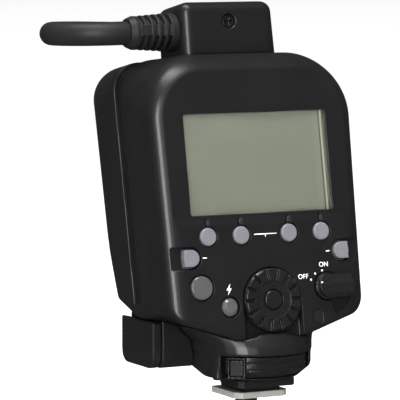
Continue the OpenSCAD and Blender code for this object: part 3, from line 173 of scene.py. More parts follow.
looks = {
    "casing_black": {"base": (0.006, 0.006, 0.0064),
        "rough": 0.34, "grain": 3200, "bump": 0.14, "specular": 0.35},
    "groove_black": {"base": (0.005, 0.005, 0.0054), "rough": 0.5, "grain": 3000, "specular": 0.25},
    "control_black": {"base": (0.006, 0.006, 0.0064),
        "rough": 0.28, "grain": 3600, "bump": 0.1, "specular": 0.4},
    "clear_window": {"base": (0.97, 0.98, 0.98),
        "rough": 0.03, "roughSpread": 0.01, "clear": 1, "bump": 0.02, "spread": 0.02, "ior": 1.45},
    # Display: painted highlight strip near its right edge, between darker lines, after a slightly lighter
    # band
    "display_glass": {"base": (0.168, 0.178, 0.133),
        "rough": 0.4, "spread": 0.03, "cloud": 30, "bump": 0.03, "band": (0.02, 0.0245),
        "highlightStops": ((0, 1), (0.45, 1.14), (0.64, 1.12), (0.68, 0.3), (0.76, 0.3), (0.8, 2.2), (0.92, 2.2),
                  (0.96, 0.3))},
    "light_guide": {"base": (0.75, 0.78, 0.68), "rough": 0.4},
    "white_plastic": {"base": (0.8, 0.8, 0.78), "rough": 0.45, "spread": 0.04},
    "circuit_board": {"base": (0.03, 0.16, 0.07), "rough": 0.35, "spread": 0.25, "cloud": 300},
    "grey_rubber": {"base": (0.3, 0.3, 0.32), "rough": 0.65},
    "inner_plastic": {"base": (0.03, 0.03, 0.032), "rough": 0.55},
    "smoked_lens": {"base": (0.008, 0.0084, 0.009), "rough": 0.12, "coat": 0.6, "bump": 0.02},
    "transformer_core": {"base": (0.11, 0.08, 0.055), "rough": 0.5, "spread": 0.3, "cloud": 400},
    "capacitor_sleeve": {"base": (0.02, 0.022, 0.027), "rough": 0.3},
    "cell_can": {"base": (0.42, 0.2, 0.06), "rough": 0.32, "metallic": 0.6},
    "contact_metal": {"base": (0.72, 0.52, 0.22), "rough": 0.25, "metallic": 1},
    "screw_steel": {"base": (0.16, 0.16, 0.155), "rough": 0.32, "metallic": 0.6, "grain": 6000},
    "black_steel": {"base": (0.012, 0.012, 0.013), "rough": 0.3, "metallic": 0.6},
    "foot_metal": {"base": (0.27, 0.265, 0.245),
        "rough": 0.34, "metallic": 0.3, "grain": 5000, "spread": 0.06},
    "key_grey": {"base": (0.104, 0.104, 0.115), "rough": 0.42, "grain": 4200, "spread": 0.05},
    "test_key_grey": {"base": (0.052, 0.053, 0.055),
        "rough": 0.16, "coat": 0.5, "spread": 0.08, "under": 0.25},
    "cord_rubber": {"base": (0.0085, 0.0085, 0.009),
        "rough": 0.5, "grain": 2600, "bump": 0.35, "specular": 0.25},
    "cover_rubber": {"base": (0.006, 0.006, 0.0064),
        "rough": 0.48, "grain": 2800, "bump": 0.35, "specular": 0.25},
    "tube_glass": {"base": (0.9, 0.92, 0.95), "rough": 0.06, "clear": 0.8, "bump": 0.02, "spread": 0.02},
    "reflector_metal": {"base": (0.8, 0.8, 0.78), "rough": 0.18, "metallic": 1},
    "diffuser": {"base": (0.78, 0.79, 0.76), "rough": 0.3, "clear": 0.35, "spread": 0.03},
    "lamp_lens": {"base": (0.8, 0.82, 0.84), "rough": 0.1, "clear": 0.5, "spread": 0.03},
}
materials = {name: makeMaterial(name, look) for name, look in looks.items()}
print("materials made")


def newObject(name, mesh):
    made = bpy.data.objects.new(name, mesh)
    scene.collection.objects.link(made)
    return made


def fromBmesh(name, shape):
    bmesh.ops.recalc_face_normals(shape, faces=shape.faces)
    mesh = bpy.data.meshes.new(name)
    shape.to_mesh(mesh)
    shape.free()
    return newObject(name, mesh)


def bake(made):
    graph = bpy.context.evaluated_depsgraph_get()
    mesh = bpy.data.meshes.new_from_object(made.evaluated_get(graph))
    made.modifiers.clear()
    old = made.data
    made.data = mesh
    bpy.data.meshes.remove(old)


def discard(made):
    mesh = made.data
    bpy.data.objects.remove(made)
    bpy.data.meshes.remove(mesh)


def combine(made, other, how):
    cut = made.modifiers.new("combine", "BOOLEAN")
    cut.operation = how
    cut.solver = "MANIFOLD"
    cut.object = other
    bake(made)
    discard(other)


def soften(made, voxel, rounds, triangles):
    remesh = made.modifiers.new("soften", "REMESH")
    remesh.mode = "VOXEL"
    remesh.voxel_size = voxel
    relax = made.modifiers.new("relax", "SMOOTH")
    relax.factor = 0.5
    relax.iterations = rounds
    bake(made)
    count = sum(len(p.vertices) - 2 for p in made.data.polygons)
    if count > triangles:
        thin = made.modifiers.new("thin", "DECIMATE")
        thin.ratio = triangles / count
        bake(made)


def settle(made, place, body, slot, *nodes):
    made.data.transform(place)
    made.data.materials.clear()
    made.data.materials.append(materials[slot])
    for face in made.data.polygons:
        face.use_smooth = True
    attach(made, body)
    if nodes:
        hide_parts(*nodes)
    return made


def prism(points, y0, y1, name="prism"):
    shape = bmesh.new()
    near = [shape.verts.new((x, y0, z)) for x, z in points]
    far = [shape.verts.new((x, y1, z)) for x, z in points]
    shape.faces.new(near)
    shape.faces.new(list(reversed(far)))
    count = len(points)
    for k in range(count):
        shape.faces.new((near[k], far[k], far[(k + 1) % count], near[(k + 1) % count]))
    return fromBmesh(name, shape)


def block(x0, x1, y0, y1, z0, z1):
    return prism([(x0, z0), (x1, z0), (x1, z1), (x0, z1)], y0, y1, "block")


def circlePoints(x, z, r, steps=64):
    turns = [math.tau * k / steps for k in range(steps)]
    return [(x + r * math.cos(a), z + r * math.sin(a)) for a in turns]


def rod(x, z, r, y0, y1, steps=64):
    return prism(circlePoints(x, z, r, steps), y0, y1, "rod")


def roundedRect(x0, x1, z0, z1, r, steps=8):
    points = []
    corners = ((x1 - r, z1 - r, 0), (x0 + r, z1 - r, 90), (x0 + r, z0 + r, 180), (x1 - r, z0 + r, 270))
    for cx, cz, start in corners:
        for k in range(steps + 1):
            a = math.radians(start + 90 * k / steps)
            points.append((cx + r * math.cos(a), cz + r * math.sin(a)))
    return points


def loft(rings, name="loft"):
    shape = bmesh.new()
    rows = [[shape.verts.new(p) for p in ring] for ring in rings]
    count = len(rows[0])
    for a, b in zip(rows, rows[1:]):
        for k in range(count):
            shape.faces.new((a[k], a[(k + 1) % count], b[(k + 1) % count], b[k]))
    shape.faces.new(list(reversed(rows[0])))
    shape.faces.new(rows[-1])
    return fromBmesh(name, shape)


def lathe(profile, steps=64, name="lathe"):
    shape = bmesh.new()
    rows = []
    for r, z in profile:
        turns = [math.tau * k / steps for k in range(steps if r > 0 else 1)]
        rows.append([shape.verts.new((r * math.cos(a), r * math.sin(a), z)) for a in turns])
    for a, b in zip(rows, rows[1:]):
        for k in range(steps):
            after = (k + 1) % steps
            corners = [a[k % len(a)], a[after % len(a)], b[after % len(b)], b[k % len(b)]]
            shape.faces.new(list(dict.fromkeys(corners)))
    return fromBmesh(name, shape)


def join(pieces, name):
    shape = bmesh.new()
    for piece in pieces:
        shape.from_mesh(piece.data)
        discard(piece)
    return fromBmesh(name, shape)


# Repeats: one copy on each point, each turned and drawn in a step further than the one before
def makeCopyTree():
    tree = bpy.data.node_groups.new("copyOnPoints", "GeometryNodeTree")
    tree.interface.new_socket("Points", in_out="INPUT", socket_type="NodeSocketGeometry")
    kinds = {"Copy": "NodeSocketObject", "First": "NodeSocketFloat", "Step": "NodeSocketFloat",
             "Shrink": "NodeSocketFloat", "Material": "NodeSocketMaterial"}
    sockets = {}
    for label, kind in kinds.items():
        sockets[label] = tree.interface.new_socket(label, in_out="INPUT", socket_type=kind).identifier
    tree.interface.new_socket("Copies", in_out="OUTPUT", socket_type="NodeSocketGeometry")
    start = tree.nodes.new("NodeGroupInput")
    end = tree.nodes.new("NodeGroupOutput")
    index = tree.nodes.new("GeometryNodeInputIndex")
    source = tree.nodes.new("GeometryNodeObjectInfo")
    turnBy = tree.nodes.new("ShaderNodeMath")
    turnBy.operation = "MULTIPLY_ADD"
    shrinkBy = tree.nodes.new("ShaderNodeMath")
    shrinkBy.operation = "MULTIPLY_ADD"
    shrinkBy.inputs[2].default_value = 1.0
    spin = tree.nodes.new("ShaderNodeCombineXYZ")
    size = tree.nodes.new("ShaderNodeCombineXYZ")
    size.inputs["Z"].default_value = 1.0
    place = tree.nodes.new("GeometryNodeInstanceOnPoints")
    real = tree.nodes.new("GeometryNodeRealizeInstances")
    paint = tree.nodes.new("GeometryNodeSetMaterial")
    link = tree.links.new
    link(start.outputs["Copy"], source.inputs["Object"])
    link(index.outputs["Index"], turnBy.inputs[0])
    link(start.outputs["Step"], turnBy.inputs[1])
    link(start.outputs["First"], turnBy.inputs[2])
    link(turnBy.outputs["Value"], spin.inputs["Z"])
    link(index.outputs["Index"], shrinkBy.inputs[0])
    link(start.outputs["Shrink"], shrinkBy.inputs[1])
    link(shrinkBy.outputs["Value"], size.inputs["X"])
    link(shrinkBy.outputs["Value"], size.inputs["Y"])
    link(start.outputs["Points"], place.inputs["Points"])
    link(source.outputs["Geometry"], place.inputs["Instance"])
    link(spin.outputs["Vector"], place.inputs["Rotation"])
    link(size.outputs["Vector"], place.inputs["Scale"])
    link(place.outputs["Instances"], real.inputs["Geometry"])
    link(real.outputs["Geometry"], paint.inputs["Geometry"])
    link(start.outputs["Material"], paint.inputs["Material"])
    link(paint.outputs["Geometry"], end.inputs["Copies"])
    return tree, sockets


copyTree, copySockets = makeCopyTree()


def copies(piece, points, slot, first=0.0, step=0.0, shrink=0.0):
    mesh = bpy.data.meshes.new("copies")
    mesh.from_pydata(points, [], [])
    made = newObject("copies", mesh)
    repeat = made.modifiers.new("repeat", "NODES")
    repeat.node_group = copyTree
    values = {"Copy": piece, "First": math.radians(first), "Step": math.radians(step), "Shrink": shrink,
              "Material": materials[slot]}
    for label, value in values.items():
        repeat[copySockets[label]] = value
    bake(made)
    discard(piece)
    return made


def nodeCopy(node, into):
    shape = bmesh.new()
    shape.from_mesh(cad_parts[node].data)
    bmesh.ops.remove_doubles(shape, verts=shape.verts, dist=1e-6)
    shape.transform(into)
    return fromBmesh(node + "Soft", shape)


def softNode(node, body, slot, voxel, rounds, triangles, into=inPanel):
    made = nodeCopy(node, into)
    soften(made, voxel, rounds, triangles)
    return settle(made, into.inverted(), body, slot, node)


# Cord: out to the left, round in a level loop, behind the body and down to the ring head
cordShape = {
    "diameter": 7.4, "startX": -32.65, "startY": 21.3243, "startZ": 112.7758, "loopX": -34.7, "backY": 51.7,
    "loopDrop": 0.95, "runDrop": 1.2, "bendRadius": 18.0, "ringX": 26.0, "endZ": -17.8, "roundness": 8,
    "loopSteps": 36, "runSteps": 8, "bendSteps": 18, "hangSteps": 10,
}


def cordRoute(c):
    radius = (c["backY"] - c["startY"]) / 2
    bendX = c["ringX"] - c["bendRadius"]
    bendZ = c["startZ"] - c["loopDrop"] - c["runDrop"] - c["bendRadius"]
    points = [(c["startX"], c["startY"], c["startZ"])]
    for k in range(c["loopSteps"] + 1):
        a = math.radians(270 - 180 * k / c["loopSteps"])
        points.append((c["loopX"] + radius * math.cos(a), c["startY"] + radius + radius * math.sin(a),
                       c["startZ"] - c["loopDrop"] * k / c["loopSteps"]))
    for k in range(1, c["runSteps"]):
        share = k / c["runSteps"]
        points.append((c["loopX"] + (bendX - c["loopX"]) * share, c["backY"],
                       c["startZ"] - c["loopDrop"] - c["runDrop"] * share))
    for k in range(c["bendSteps"] + 1):
        a = math.radians(90 - 90 * k / c["bendSteps"])
        points.append((bendX + c["bendRadius"] * math.cos(a), c["backY"],
                       bendZ + c["bendRadius"] * math.sin(a)))
    for k in range(1, c["hangSteps"] + 1):
        points.append((c["ringX"], c["backY"], bendZ + (c["endZ"] - bendZ) * k / c["hangSteps"]))
    return [Vector(p) * mm for p in points]


cordPoints = cordRoute(cordShape)
cordCurve = bpy.data.curves.new("flashCord", "CURVE")
cordCurve.dimensions = "3D"
cordCurve.bevel_depth = cordShape["diameter"] / 2 * mm
cordCurve.bevel_resolution = cordShape["roundness"]
cordCurve.use_fill_caps = True
cordLine = cordCurve.splines.new("POLY")
cordLine.points.add(len(cordPoints) - 1)
for knot, point in zip(cordLine.points, cordPoints):
    knot.co = (*point, 1)
cordLine.use_smooth = True
cord = newObject("flashCord", cordCurve)
cordCurve.materials.append(materials["cord_rubber"])
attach(cord, "control_unit")
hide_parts("flash_cord")

# Body form: the panel's rounded outline, drawn in towards the panel, the top and the front face
bodyForm = {
    "halfWidth": 35.2, "halfLow": 34.1, "depth": 48.0, "top": 79.5, "drop": 11.0,
    "shoulder": 18.5, "frontShoulder": 9.5, "corner": 7.0, "frontCorner": 2.5,
    "chinRise": 5.4, "frontChinRise": 5.0, "chinX": 9.0, "chinRadius": 16.0,
    "panelEdge": 4.0, "panelEdgeWidth": 6.5, "lowEdge": 2.0, "crownHeight": 8.5, "crownDepth": 12.0,
    "frontEdge": 8.0, "frontCrown": 10.0, "frontLow": 38.0, "frontRise": 42.0, "blendEnd": 26.0,
    "least": 0.5, "rearSlices": 16, "middleSlices": 18, "frontSlices": 14,
    "chinSteps": 5, "endSteps": 5, "slopeSteps": 6, "cornerSteps": 10, "sideSteps": 18, "shoulderSteps": 22,
    "topSteps": 6,
}


def arcIn(r, left):
    return 0.0 if left >= r else r - math.sqrt(max(r * r - (r - left) ** 2, 0))


def crownIn(height, depth, left):
    return 0.0 if left >= depth else height * (1 - math.sqrt(max(1 - (1 - left / depth) ** 2, 0)))


def chinHeight(b, y):
    ramp = b["frontLow"]
    level = -b["drop"] + y * math.tan(panelTilt) + arcIn(b["lowEdge"], y)
    if y <= b["blendEnd"]:
        return level
    start = -b["drop"] + b["blendEnd"] * math.tan(panelTilt)
    if y <= ramp:
        return start * (ramp - y) / (ramp - b["blendEnd"])
    return (y - ramp) * b["frontRise"] / (b["depth"] - ramp)


def bodyRing(b, y, inset):
    share = min(max((y - b["crownDepth"]) / (b["blendEnd"] - b["crownDepth"]), 0), 1)
    share = share * share * (3 - 2 * share)

    def mix(rear, front):
        return rear + (front - rear) * share

    left = b["depth"] - y
    inward = crownIn(b["panelEdgeWidth"], b["panelEdge"], y) + arcIn(b["frontEdge"], left) + inset
    topIn = crownIn(b["crownHeight"], b["crownDepth"], y) + crownIn(b["frontCrown"], b["frontCrown"], left)
    floor = chinHeight(b, y) + inset
    topR = max(mix(b["shoulder"], b["frontShoulder"]) - inward, b["least"])
    lowR = max(mix(b["corner"], b["frontCorner"]) - inward, b["least"])
    endR = max(b["chinRadius"] - inward, b["least"])
    top = (b["halfWidth"] - inward - topR, b["top"] - topIn - inset - topR)
    low = (b["halfLow"] - inward - lowR, floor + mix(b["chinRise"], b["frontChinRise"]) + lowR)
    end = (b["chinX"], floor + endR)
    dx, dz = low[0] - end[0], low[1] - end[1]
    tangent = math.atan2(dz, dx) - math.acos((endR - lowR) / math.hypot(dx, dz))
    right = []

    def at(centre, r, a):
        return (centre[0] + r * math.cos(a), centre[1] + r * math.sin(a))

    def line(a, c, steps):
        for k in range(steps):
            right.append((a[0] + (c[0] - a[0]) * k / steps, a[1] + (c[1] - a[1]) * k / steps))

    def arc(centre, r, a0, a1, steps):
        for k in range(steps):
            right.append(at(centre, r, a0 + (a1 - a0) * k / steps))

    half = math.pi / 2
    line((0, floor), at(end, endR, -half), b["chinSteps"])
    arc(end, endR, -half, tangent, b["endSteps"])
    line(at(end, endR, tangent), at(low, lowR, tangent), b["slopeSteps"])
    arc(low, lowR, tangent, 0, b["cornerSteps"])
    line(at(low, lowR, 0), at(top, topR, 0), b["sideSteps"])
    arc(top, topR, 0, half, b["shoulderSteps"])
    line(at(top, topR, half), (0, top[1] + topR), b["topSteps"])
    right.append((0, top[1] + topR))
    sliceY = inset + y * (b["depth"] - 2 * inset) / b["depth"]
    points = right + [(-x, z) for x, z in reversed(right[1:-1])]
    return [(x, sliceY, z) for x, z in points]


def bodySolid(inset, name="body"):
    b = bodyForm
    rearCount, middleCount, frontCount = b["rearSlices"], b["middleSlices"], b["frontSlices"]
    rear = [b["crownDepth"] * (1 - math.cos(math.pi / 2 * k / rearCount)) for k in range(rearCount + 1)]
    span = b["frontLow"] - b["crownDepth"]
    middle = [b["crownDepth"] + span * k / middleCount for k in range(1, middleCount)]
    end = b["depth"] - b["frontLow"]
    front = [b["frontLow"] + end * math.sin(math.pi / 2 * k / frontCount) for k in range(frontCount + 1)]
    return loft([bodyRing(b, y, inset) for y in rear + middle + front], name)


# Panel openings, with reach for cutters that run out past the body
pastBody = {"aside": 60, "above": 100, "below": -60, "behind": -5, "ledge": 90, "chin": -40}
panel = {
    "wall": 2.2, "cutFrom": -1, "cutTo": 4, "boreTo": 6, "keyGap": 0.5, "ledgeFrom": -2,
    "lcdHalfW": 24.75, "lcdHalfH": 15.675, "lcdZ": 44.0, "lcdCorner": 0.7, "windowLap": 1.4, "windowT": 1.2,
    "keyR": 2.75, "keyZ": 21.7, "keyOuter": 19.8, "keyInner": 8.35,
    "modeX": -23.4, "modeZ": 6.2, "modeR": 3.65, "testX": -14.1, "testZ": -0.2, "testR": 2.8,
    "dialX": 0.6, "dialZ": 1.2, "pitR": 10.15, "pitD": 2.6, "hubR": 5.05, "pitSteps": 96,
    "switchX": 20.2, "switchZ": 4.4, "switchR": 4.2, "switchL": 8.8, "switchTurn": 52, "switchGap": 0.3,
    "shaftR": 2.55, "fanMargin": 22, "fanSteps": 24, "recessD": 1.0,
    "sideX": 26.2, "sideZ": 15.4, "sideHalf": 2.6, "sideFlat": 2.4, "sideRecess": 3.5, "sideDepth": 1.3,
    "sideReach": 40, "lampX": 16.2, "lampTop": -2.6, "lampW": 3.0, "lampH": 4.1, "lampGap": 0.1,
    "grooveY": 21.5, "grooveW": 5.0, "grooveEnd": 3.6,
    "ledgeLow": 25.1, "ledgeTop": 27.2, "ledgeDepth": 0.4, "pointerHalf": 0.6, "pointerDepth": 0.9,
    "padFrom": 2, "pitPad": 1, "pitPadTo": 4.2, "pitPadLow": -9.4, "fanPad": 0.8, "fanPadTo": 3.1,
}


def sidePoints(x, z, half, flat, side):
    turns = [math.radians(a) for a in range(-90, 91, 6)]
    points = [(x - side * half * math.cos(a), z + half * math.sin(a)) for a in turns]
    return points + [(x + side * flat, z + half), (x + side * flat, z - half)]


def lampPoints(p, grow):
    r = p["lampW"] / 2 + grow
    top = p["lampTop"] - p["lampW"] / 2
    turns = [math.radians(a) for a in range(0, 181, 6)]
    points = [(p["lampX"] + r * math.cos(a), top + r * math.sin(a)) for a in turns]
    low = p["lampTop"] - p["lampH"] - grow
    return points + [(p["lampX"] - r, low), (p["lampX"] + r, low)]


def fanPoints(p, grow):
    x, z = p["switchX"], p["switchZ"]
    r = p["switchL"] + p["switchGap"] + grow
    start, end = p["fanMargin"], -p["switchTurn"] - p["fanMargin"]
    steps = p["fanSteps"]
    angles = [math.radians(start + (end - start) * k / steps) for k in range(steps + 1)]
    return [(x, z)] + [(x + r * math.cos(a), z + r * math.sin(a)) for a in angles]


def panelCuts(p):
    w, h, z, lap, corner = p["lcdHalfW"], p["lcdHalfH"], p["lcdZ"], p["windowLap"], p["lcdCorner"]
    start, end = p["cutFrom"], p["cutTo"]
    yield prism(roundedRect(-w, w, z - h, z + h, corner), start, end)
    window = roundedRect(-w - lap, w + lap, z - h - lap, z + h + lap, corner)
    yield prism(window, p["wall"] - p["windowT"], end)
    keyPlaces = (-p["keyOuter"], -p["keyInner"], p["keyInner"], p["keyOuter"])
    keys = [(x, p["keyZ"], p["keyR"]) for x in keyPlaces]
    for x, kz, r in keys + [(p["modeX"], p["modeZ"], p["modeR"]), (p["testX"], p["testZ"], p["testR"])]:
        yield rod(x, kz, r + p["keyGap"], start, end)
    for side in (-1, 1):
        x = side * p["sideX"]
        half, flat = p["sideHalf"] + p["keyGap"], p["sideFlat"] + p["keyGap"]
        yield prism(sidePoints(x, p["sideZ"], p["sideRecess"], p["sideReach"], side), start, p["sideDepth"])
        yield prism(sidePoints(x, p["sideZ"], half, flat, side), start, end)
    dialX, dialZ, pitR = p["dialX"], p["dialZ"], p["pitR"]
    yield rod(dialX, dialZ, pitR, start, p["pitD"], p["pitSteps"])
    yield block(dialX - pitR, dialX + pitR, start, p["pitD"], pastBody["chin"], dialZ)
    yield rod(dialX, dialZ, p["hubR"], 0, p["boreTo"])
    yield rod(p["switchX"], p["switchZ"], p["switchR"] + p["switchGap"], start, p["recessD"])
    yield prism(fanPoints(p, 0), start, p["recessD"])
    yield rod(p["switchX"], p["switchZ"], p["shaftR"], 0, p["boreTo"])
    yield prism(lampPoints(p, p["lampGap"]), start, end)
    low, top, depth, out = p["ledgeLow"], p["ledgeTop"], p["ledgeDepth"], p["ledgeFrom"]
    slope = ((out, low), (0, low), (depth, top), (depth, pastBody["ledge"]), (out, pastBody["ledge"]))
    yield loft([[(x, y, z) for y, z in slope] for x in (-pastBody["aside"], pastBody["aside"])])
    for x, kz, r in keys:
        yield block(x - p["pointerHalf"], x + p["pointerHalf"], start, p["pointerDepth"], kz, top)


def shell(name, keepOut):
    made = bodySolid(0, name)
    combine(made, bodySolid(panel["wall"]), "DIFFERENCE")
    for cutter in keepOut:
        combine(made, cutter, "DIFFERENCE")
    return made


door = {
    "y0": 11.1, "y1": 41.1, "z0": 24.2, "z1": 57.2, "hingeX": 32.9, "inside": 4, "gap": 0.3, "knuckle": 1.25,
    "lug": 2.2,
}


def doorOpening(d):
    x, out, gap = d["hingeX"] - d["inside"], pastBody["aside"], d["gap"]
    yield block(x, out, d["y0"] - gap, d["y1"] + gap, d["z0"] + d["knuckle"] + gap, d["z1"] + gap)
    yield block(x, out, d["y0"] + d["lug"], d["y1"] - d["lug"], d["z0"] - d["knuckle"] - 2 * gap, d["z1"])


# Casings, each softened by voxel, rounds and triangles
casingSoft = {"rear": (0.24, 3, 180000), "front": (0.35, 3, 120000)}
aside, above, below = pastBody["aside"], pastBody["above"], pastBody["below"]
frontY = panel["grooveY"] + panel["grooveW"]
rear = shell("rearCasing", [
    block(-aside, aside, panel["grooveY"], aside, panel["grooveEnd"], above),
    block(-aside, aside, frontY, aside, below, above),
])
padFrom, padR = panel["padFrom"], panel["pitR"] + panel["pitPad"]
pitPad = rod(panel["dialX"], panel["dialZ"], padR, padFrom, panel["pitPadTo"], panel["pitSteps"])
combine(rear, pitPad, "UNION")
lowPad = block(panel["dialX"] - padR, panel["dialX"] + padR, padFrom, panel["pitPadTo"],
               panel["pitPadLow"], panel["dialZ"])
combine(rear, lowPad, "UNION")
combine(rear, prism(fanPoints(panel, panel["fanPad"]), padFrom, panel["fanPadTo"]), "UNION")
hubPadR = panel["switchR"] + panel["switchGap"] + panel["fanPad"]
combine(rear, rod(panel["switchX"], panel["switchZ"], hubPadR, padFrom, panel["fanPadTo"]), "UNION")
for cutter in panelCuts(panel):
    combine(rear, cutter, "DIFFERENCE")
for cutter in doorOpening(door):
    combine(rear, cutter, "DIFFERENCE")
soften(rear, *casingSoft["rear"])
settle(rear, onPanel, "control_unit", "casing_black", "rear_casing")
print("rear casing made", len(rear.data.polygons))

screws = {
    "places": ((-20, 64, 45.5), (20, 64, 45.5), (-27.6, 20, 39.5), (27.6, 20, 39.5)),
    "shank": 1.35, "head": 2.45, "boss": 3.0, "bossTo": 50, "bossSkin": 1.1, "shankFrom": 20,
}
front = shell("frontCasing", [block(-aside, aside, pastBody["behind"], frontY, below, above)])
for x, z, seat in screws["places"]:
    post = rod(x, z, screws["boss"], frontY, screws["bossTo"])
    combine(post, bodySolid(screws["bossSkin"]), "INTERSECT")
    combine(front, post, "UNION")
for x, z, seat in screws["places"]:
    combine(front, rod(x, z, screws["shank"], screws["shankFrom"], aside), "DIFFERENCE")
    combine(front, rod(x, z, screws["head"], seat, aside), "DIFFERENCE")
for cutter in doorOpening(door):
    combine(front, cutter, "DIFFERENCE")
soften(front, *casingSoft["front"])
settle(front, onPanel, "control_unit", "casing_black", "front_casing")
print("front casing made", len(front.data.polygons))

# Pieces that keep their form and are only rounded: body, slot, voxel, rounds and triangles
rounded = {
    "centre_frame": ("control_unit", "groove_black", 0.4, 3, 60000),
    "battery_door": ("battery_door", "casing_black", 0.3, 3, 60000),
    "cord_housing": ("control_unit", "casing_black", 0.3, 4, 90000),
    "housing_screw": ("control_unit", "black_steel", 0.12, 2, 20000),
    "base_casing": ("control_unit", "casing_black", 0.3, 16, 90000),
    "socket_housing": ("control_unit", "casing_black", 0.3, 4, 60000),
    "socket_cover": ("socket_cover", "cover_rubber", 0.3, 14, 60000),
    "function_button_1": ("function_button_1", "key_grey", 0.15, 3, 12000),
    "function_button_2": ("function_button_2", "key_grey", 0.15, 3, 12000),
    "function_button_3": ("function_button_3", "key_grey", 0.15, 3, 12000),
    "function_button_4": ("function_button_4", "key_grey", 0.15, 3, 12000),
    "lamp_button": ("lamp_button", "key_grey", 0.15, 3, 12000),
    "ratio_button": ("ratio_button", "key_grey", 0.15, 3, 12000),
    "mode_button": ("mode_button", "test_key_grey", 0.15, 3, 12000),
    "test_button": ("test_button", "test_key_grey", 0.15, 4, 12000),
    "set_button": ("set_button", "control_black", 0.15, 3, 12000),
    "lock_release_button": ("lock_release_button", "control_black", 0.15, 3, 12000),
    "foot_plate": ("control_unit", "foot_metal", 0.18, 2, 40000),
    "weather_seal": ("control_unit", "cover_rubber", 0.2, 2, 40000),
}
for node, settings in rounded.items():
    softNode(node, *settings)
print("small pieces made")

# Rubber web between the socket cover and its housing
web = {
    "x0": -31.8, "x1": -28.0, "y0": 22.9, "y1": 24.45, "z0": 13.3, "z1": 20.7, "r": 0.6,
    "bendFrom": -29.2, "bendTo": -30.3, "steps": 24,
}
webOutline = roundedRect(web["y0"], web["y1"], web["z0"], web["z1"], web["r"])
webRings = []
for k in range(web["steps"] + 1):
    x = web["x1"] + (web["x0"] - web["x1"]) * k / web["steps"]
    webRings.append([(x, y, z) for y, z in webOutline])
coverWeb = loft(webRings, "coverWeb")
coverWeb.data.transform(metres)
coverWeb.data.materials.append(materials["cover_rubber"])
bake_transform(coverWeb)
print("cover web made")

# Power switch with two sloping flanks along its handle
switchForm = {
    "high": ((-2.7, 0.4), (-2.7, 4.0), (-0.8, 4.0)), "low": ((-2.7, -2.2), (-1.5, -4.0), (-2.7, -4.0)),
    "ends": (-8, 14), "soft": (0.14, 2, 40000),
}
switch = nodeCopy("power_switch", inPanel)
for flank in (switchForm["high"], switchForm["low"]):
    rings = []
    for end in switchForm["ends"]:
        rings.append([(panel["switchX"] + end, y, panel["switchZ"] + z) for y, z in flank])
    combine(switch, loft(rings), "DIFFERENCE")
soften(switch, *switchForm["soft"])
settle(switch, onPanel, "power_switch", "control_black", "power_switch")
print("switch made")

# Dial with rounded grip notches
dial = {
    "notches": 14, "notchR": 0.62, "notchFrom": 6.5, "notchRise": 1.35, "notchSteps": 20,
    "notchRows": ((0.0, 0.1), (0.1, 0.62), (0.35, 0.9), (0.75, 1.0), (6.0, 1.0)), "soft": (0.14, 3, 90000),
}
dialMiddle = Matrix.Translation((panel["dialX"], 0, panel["dialZ"]))
onDial = onPanel @ dialMiddle @ Matrix.Rotation(math.pi / 2, 4, "X")
dialBody = nodeCopy("select_dial", onDial.inverted())
notchRings = []
for along, share in dial["notchRows"]:
    outline = circlePoints(0, 0, share * dial["notchR"], dial["notchSteps"])
    notchRings.append([(dial["notchFrom"] + along, y, dial["notchRise"] + z) for y, z in outline])
notch = loft(notchRings, "notch")
notches = copies(notch, [(0, 0, 0)] * dial["notches"], "control_black", 0, 360 / dial["notches"])
combine(dialBody, notches, "DIFFERENCE")
soften(dialBody, *dial["soft"])
settle(dialBody, onDial, "select_dial", "control_black", "select_dial")
print("dial made")

# Ribbed strain reliefs on the control unit and on the ring head
relief = {
    "length": 16.2, "rootR": 6.1, "tipR": 5.3, "coreR": 4.3, "seat": 0.3, "rootL": 1.2, "tipL": 3.2,
    "bevelL": 1.8, "bevelIn": 0.75, "ribs": 5, "ribShare": 0.55, "edgeIn": 0.2, "edgeL": 0.25,
    "barHalf": 1.7, "barRise": 0.05, "barIn": 1, "barRoot": 0.3, "barTip": 0.2, "inside": 2.2,
    "soft": (0.15, 2, 90000),
}


def reliefForm(c):
    start = c["seat"] + c["rootL"]
    tip = c["length"] - c["tipL"]
    pitch = (tip - start) / c["ribs"]
    rib = pitch * c["ribShare"]
    coreR, rootR, tipR, length = c["coreR"], c["rootR"], c["tipR"], c["length"]
    core = lathe([(0, -c["inside"]), (coreR, -c["inside"]), (coreR, c["seat"]), (rootR, c["seat"]),
                  (rootR, start), (coreR, start), (coreR, tip), (tipR, tip),
                  (tipR, length - c["bevelL"]), (tipR - c["bevelIn"], length), (0, length)])
    edgeR, edgeL = rootR - c["edgeIn"], c["edgeL"]
    ring = lathe([(0, 0), (edgeR, 0), (rootR, edgeL), (rootR, rib - edgeL), (edgeR, rib), (0, rib)])
    shrink = (tipR / rootR - 1) / c["ribs"]
    ribs = copies(ring, [(0, 0, start + k * pitch) for k in range(c["ribs"])], "cord_rubber", 0, 0, shrink)
    barOut, barIn = tipR + c["barRise"], coreR - c["barIn"]
    z0, z1 = start - c["barRoot"], tip + c["barTip"]
    bars = [block(-c["barHalf"], c["barHalf"], -barOut, -barIn, z0, z1),
            block(-c["barHalf"], c["barHalf"], barIn, barOut, z0, z1)]
    return join([core, ribs] + bars, "strainRelief")


reliefSeats = {"ringMiddle": (0.026, 0.0567, -0.09), "hood": (-16.4, 19.5, 87.8), "ringTop": (0, -55.95, -5)}
onRing = Matrix.Translation(reliefSeats["ringMiddle"]) @ Matrix.Rotation(-math.pi / 2, 4, "X") @ metres
onHood = onPanel @ Matrix.Translation(reliefSeats["hood"]) @ Matrix.Rotation(-math.pi / 2, 4, "Y")
onRingTop = onRing @ Matrix.Translation(reliefSeats["ringTop"]) @ Matrix.Rotation(math.pi / 2, 4, "X")
for node, place in (("strain_relief", onHood), ("ring_strain_relief", onRingTop)):
    reliefBody = reliefForm(relief)
    soften(reliefBody, *relief["soft"])
    settle(reliefBody, place, "control_unit", "cord_rubber", node)
print("strain reliefs made")

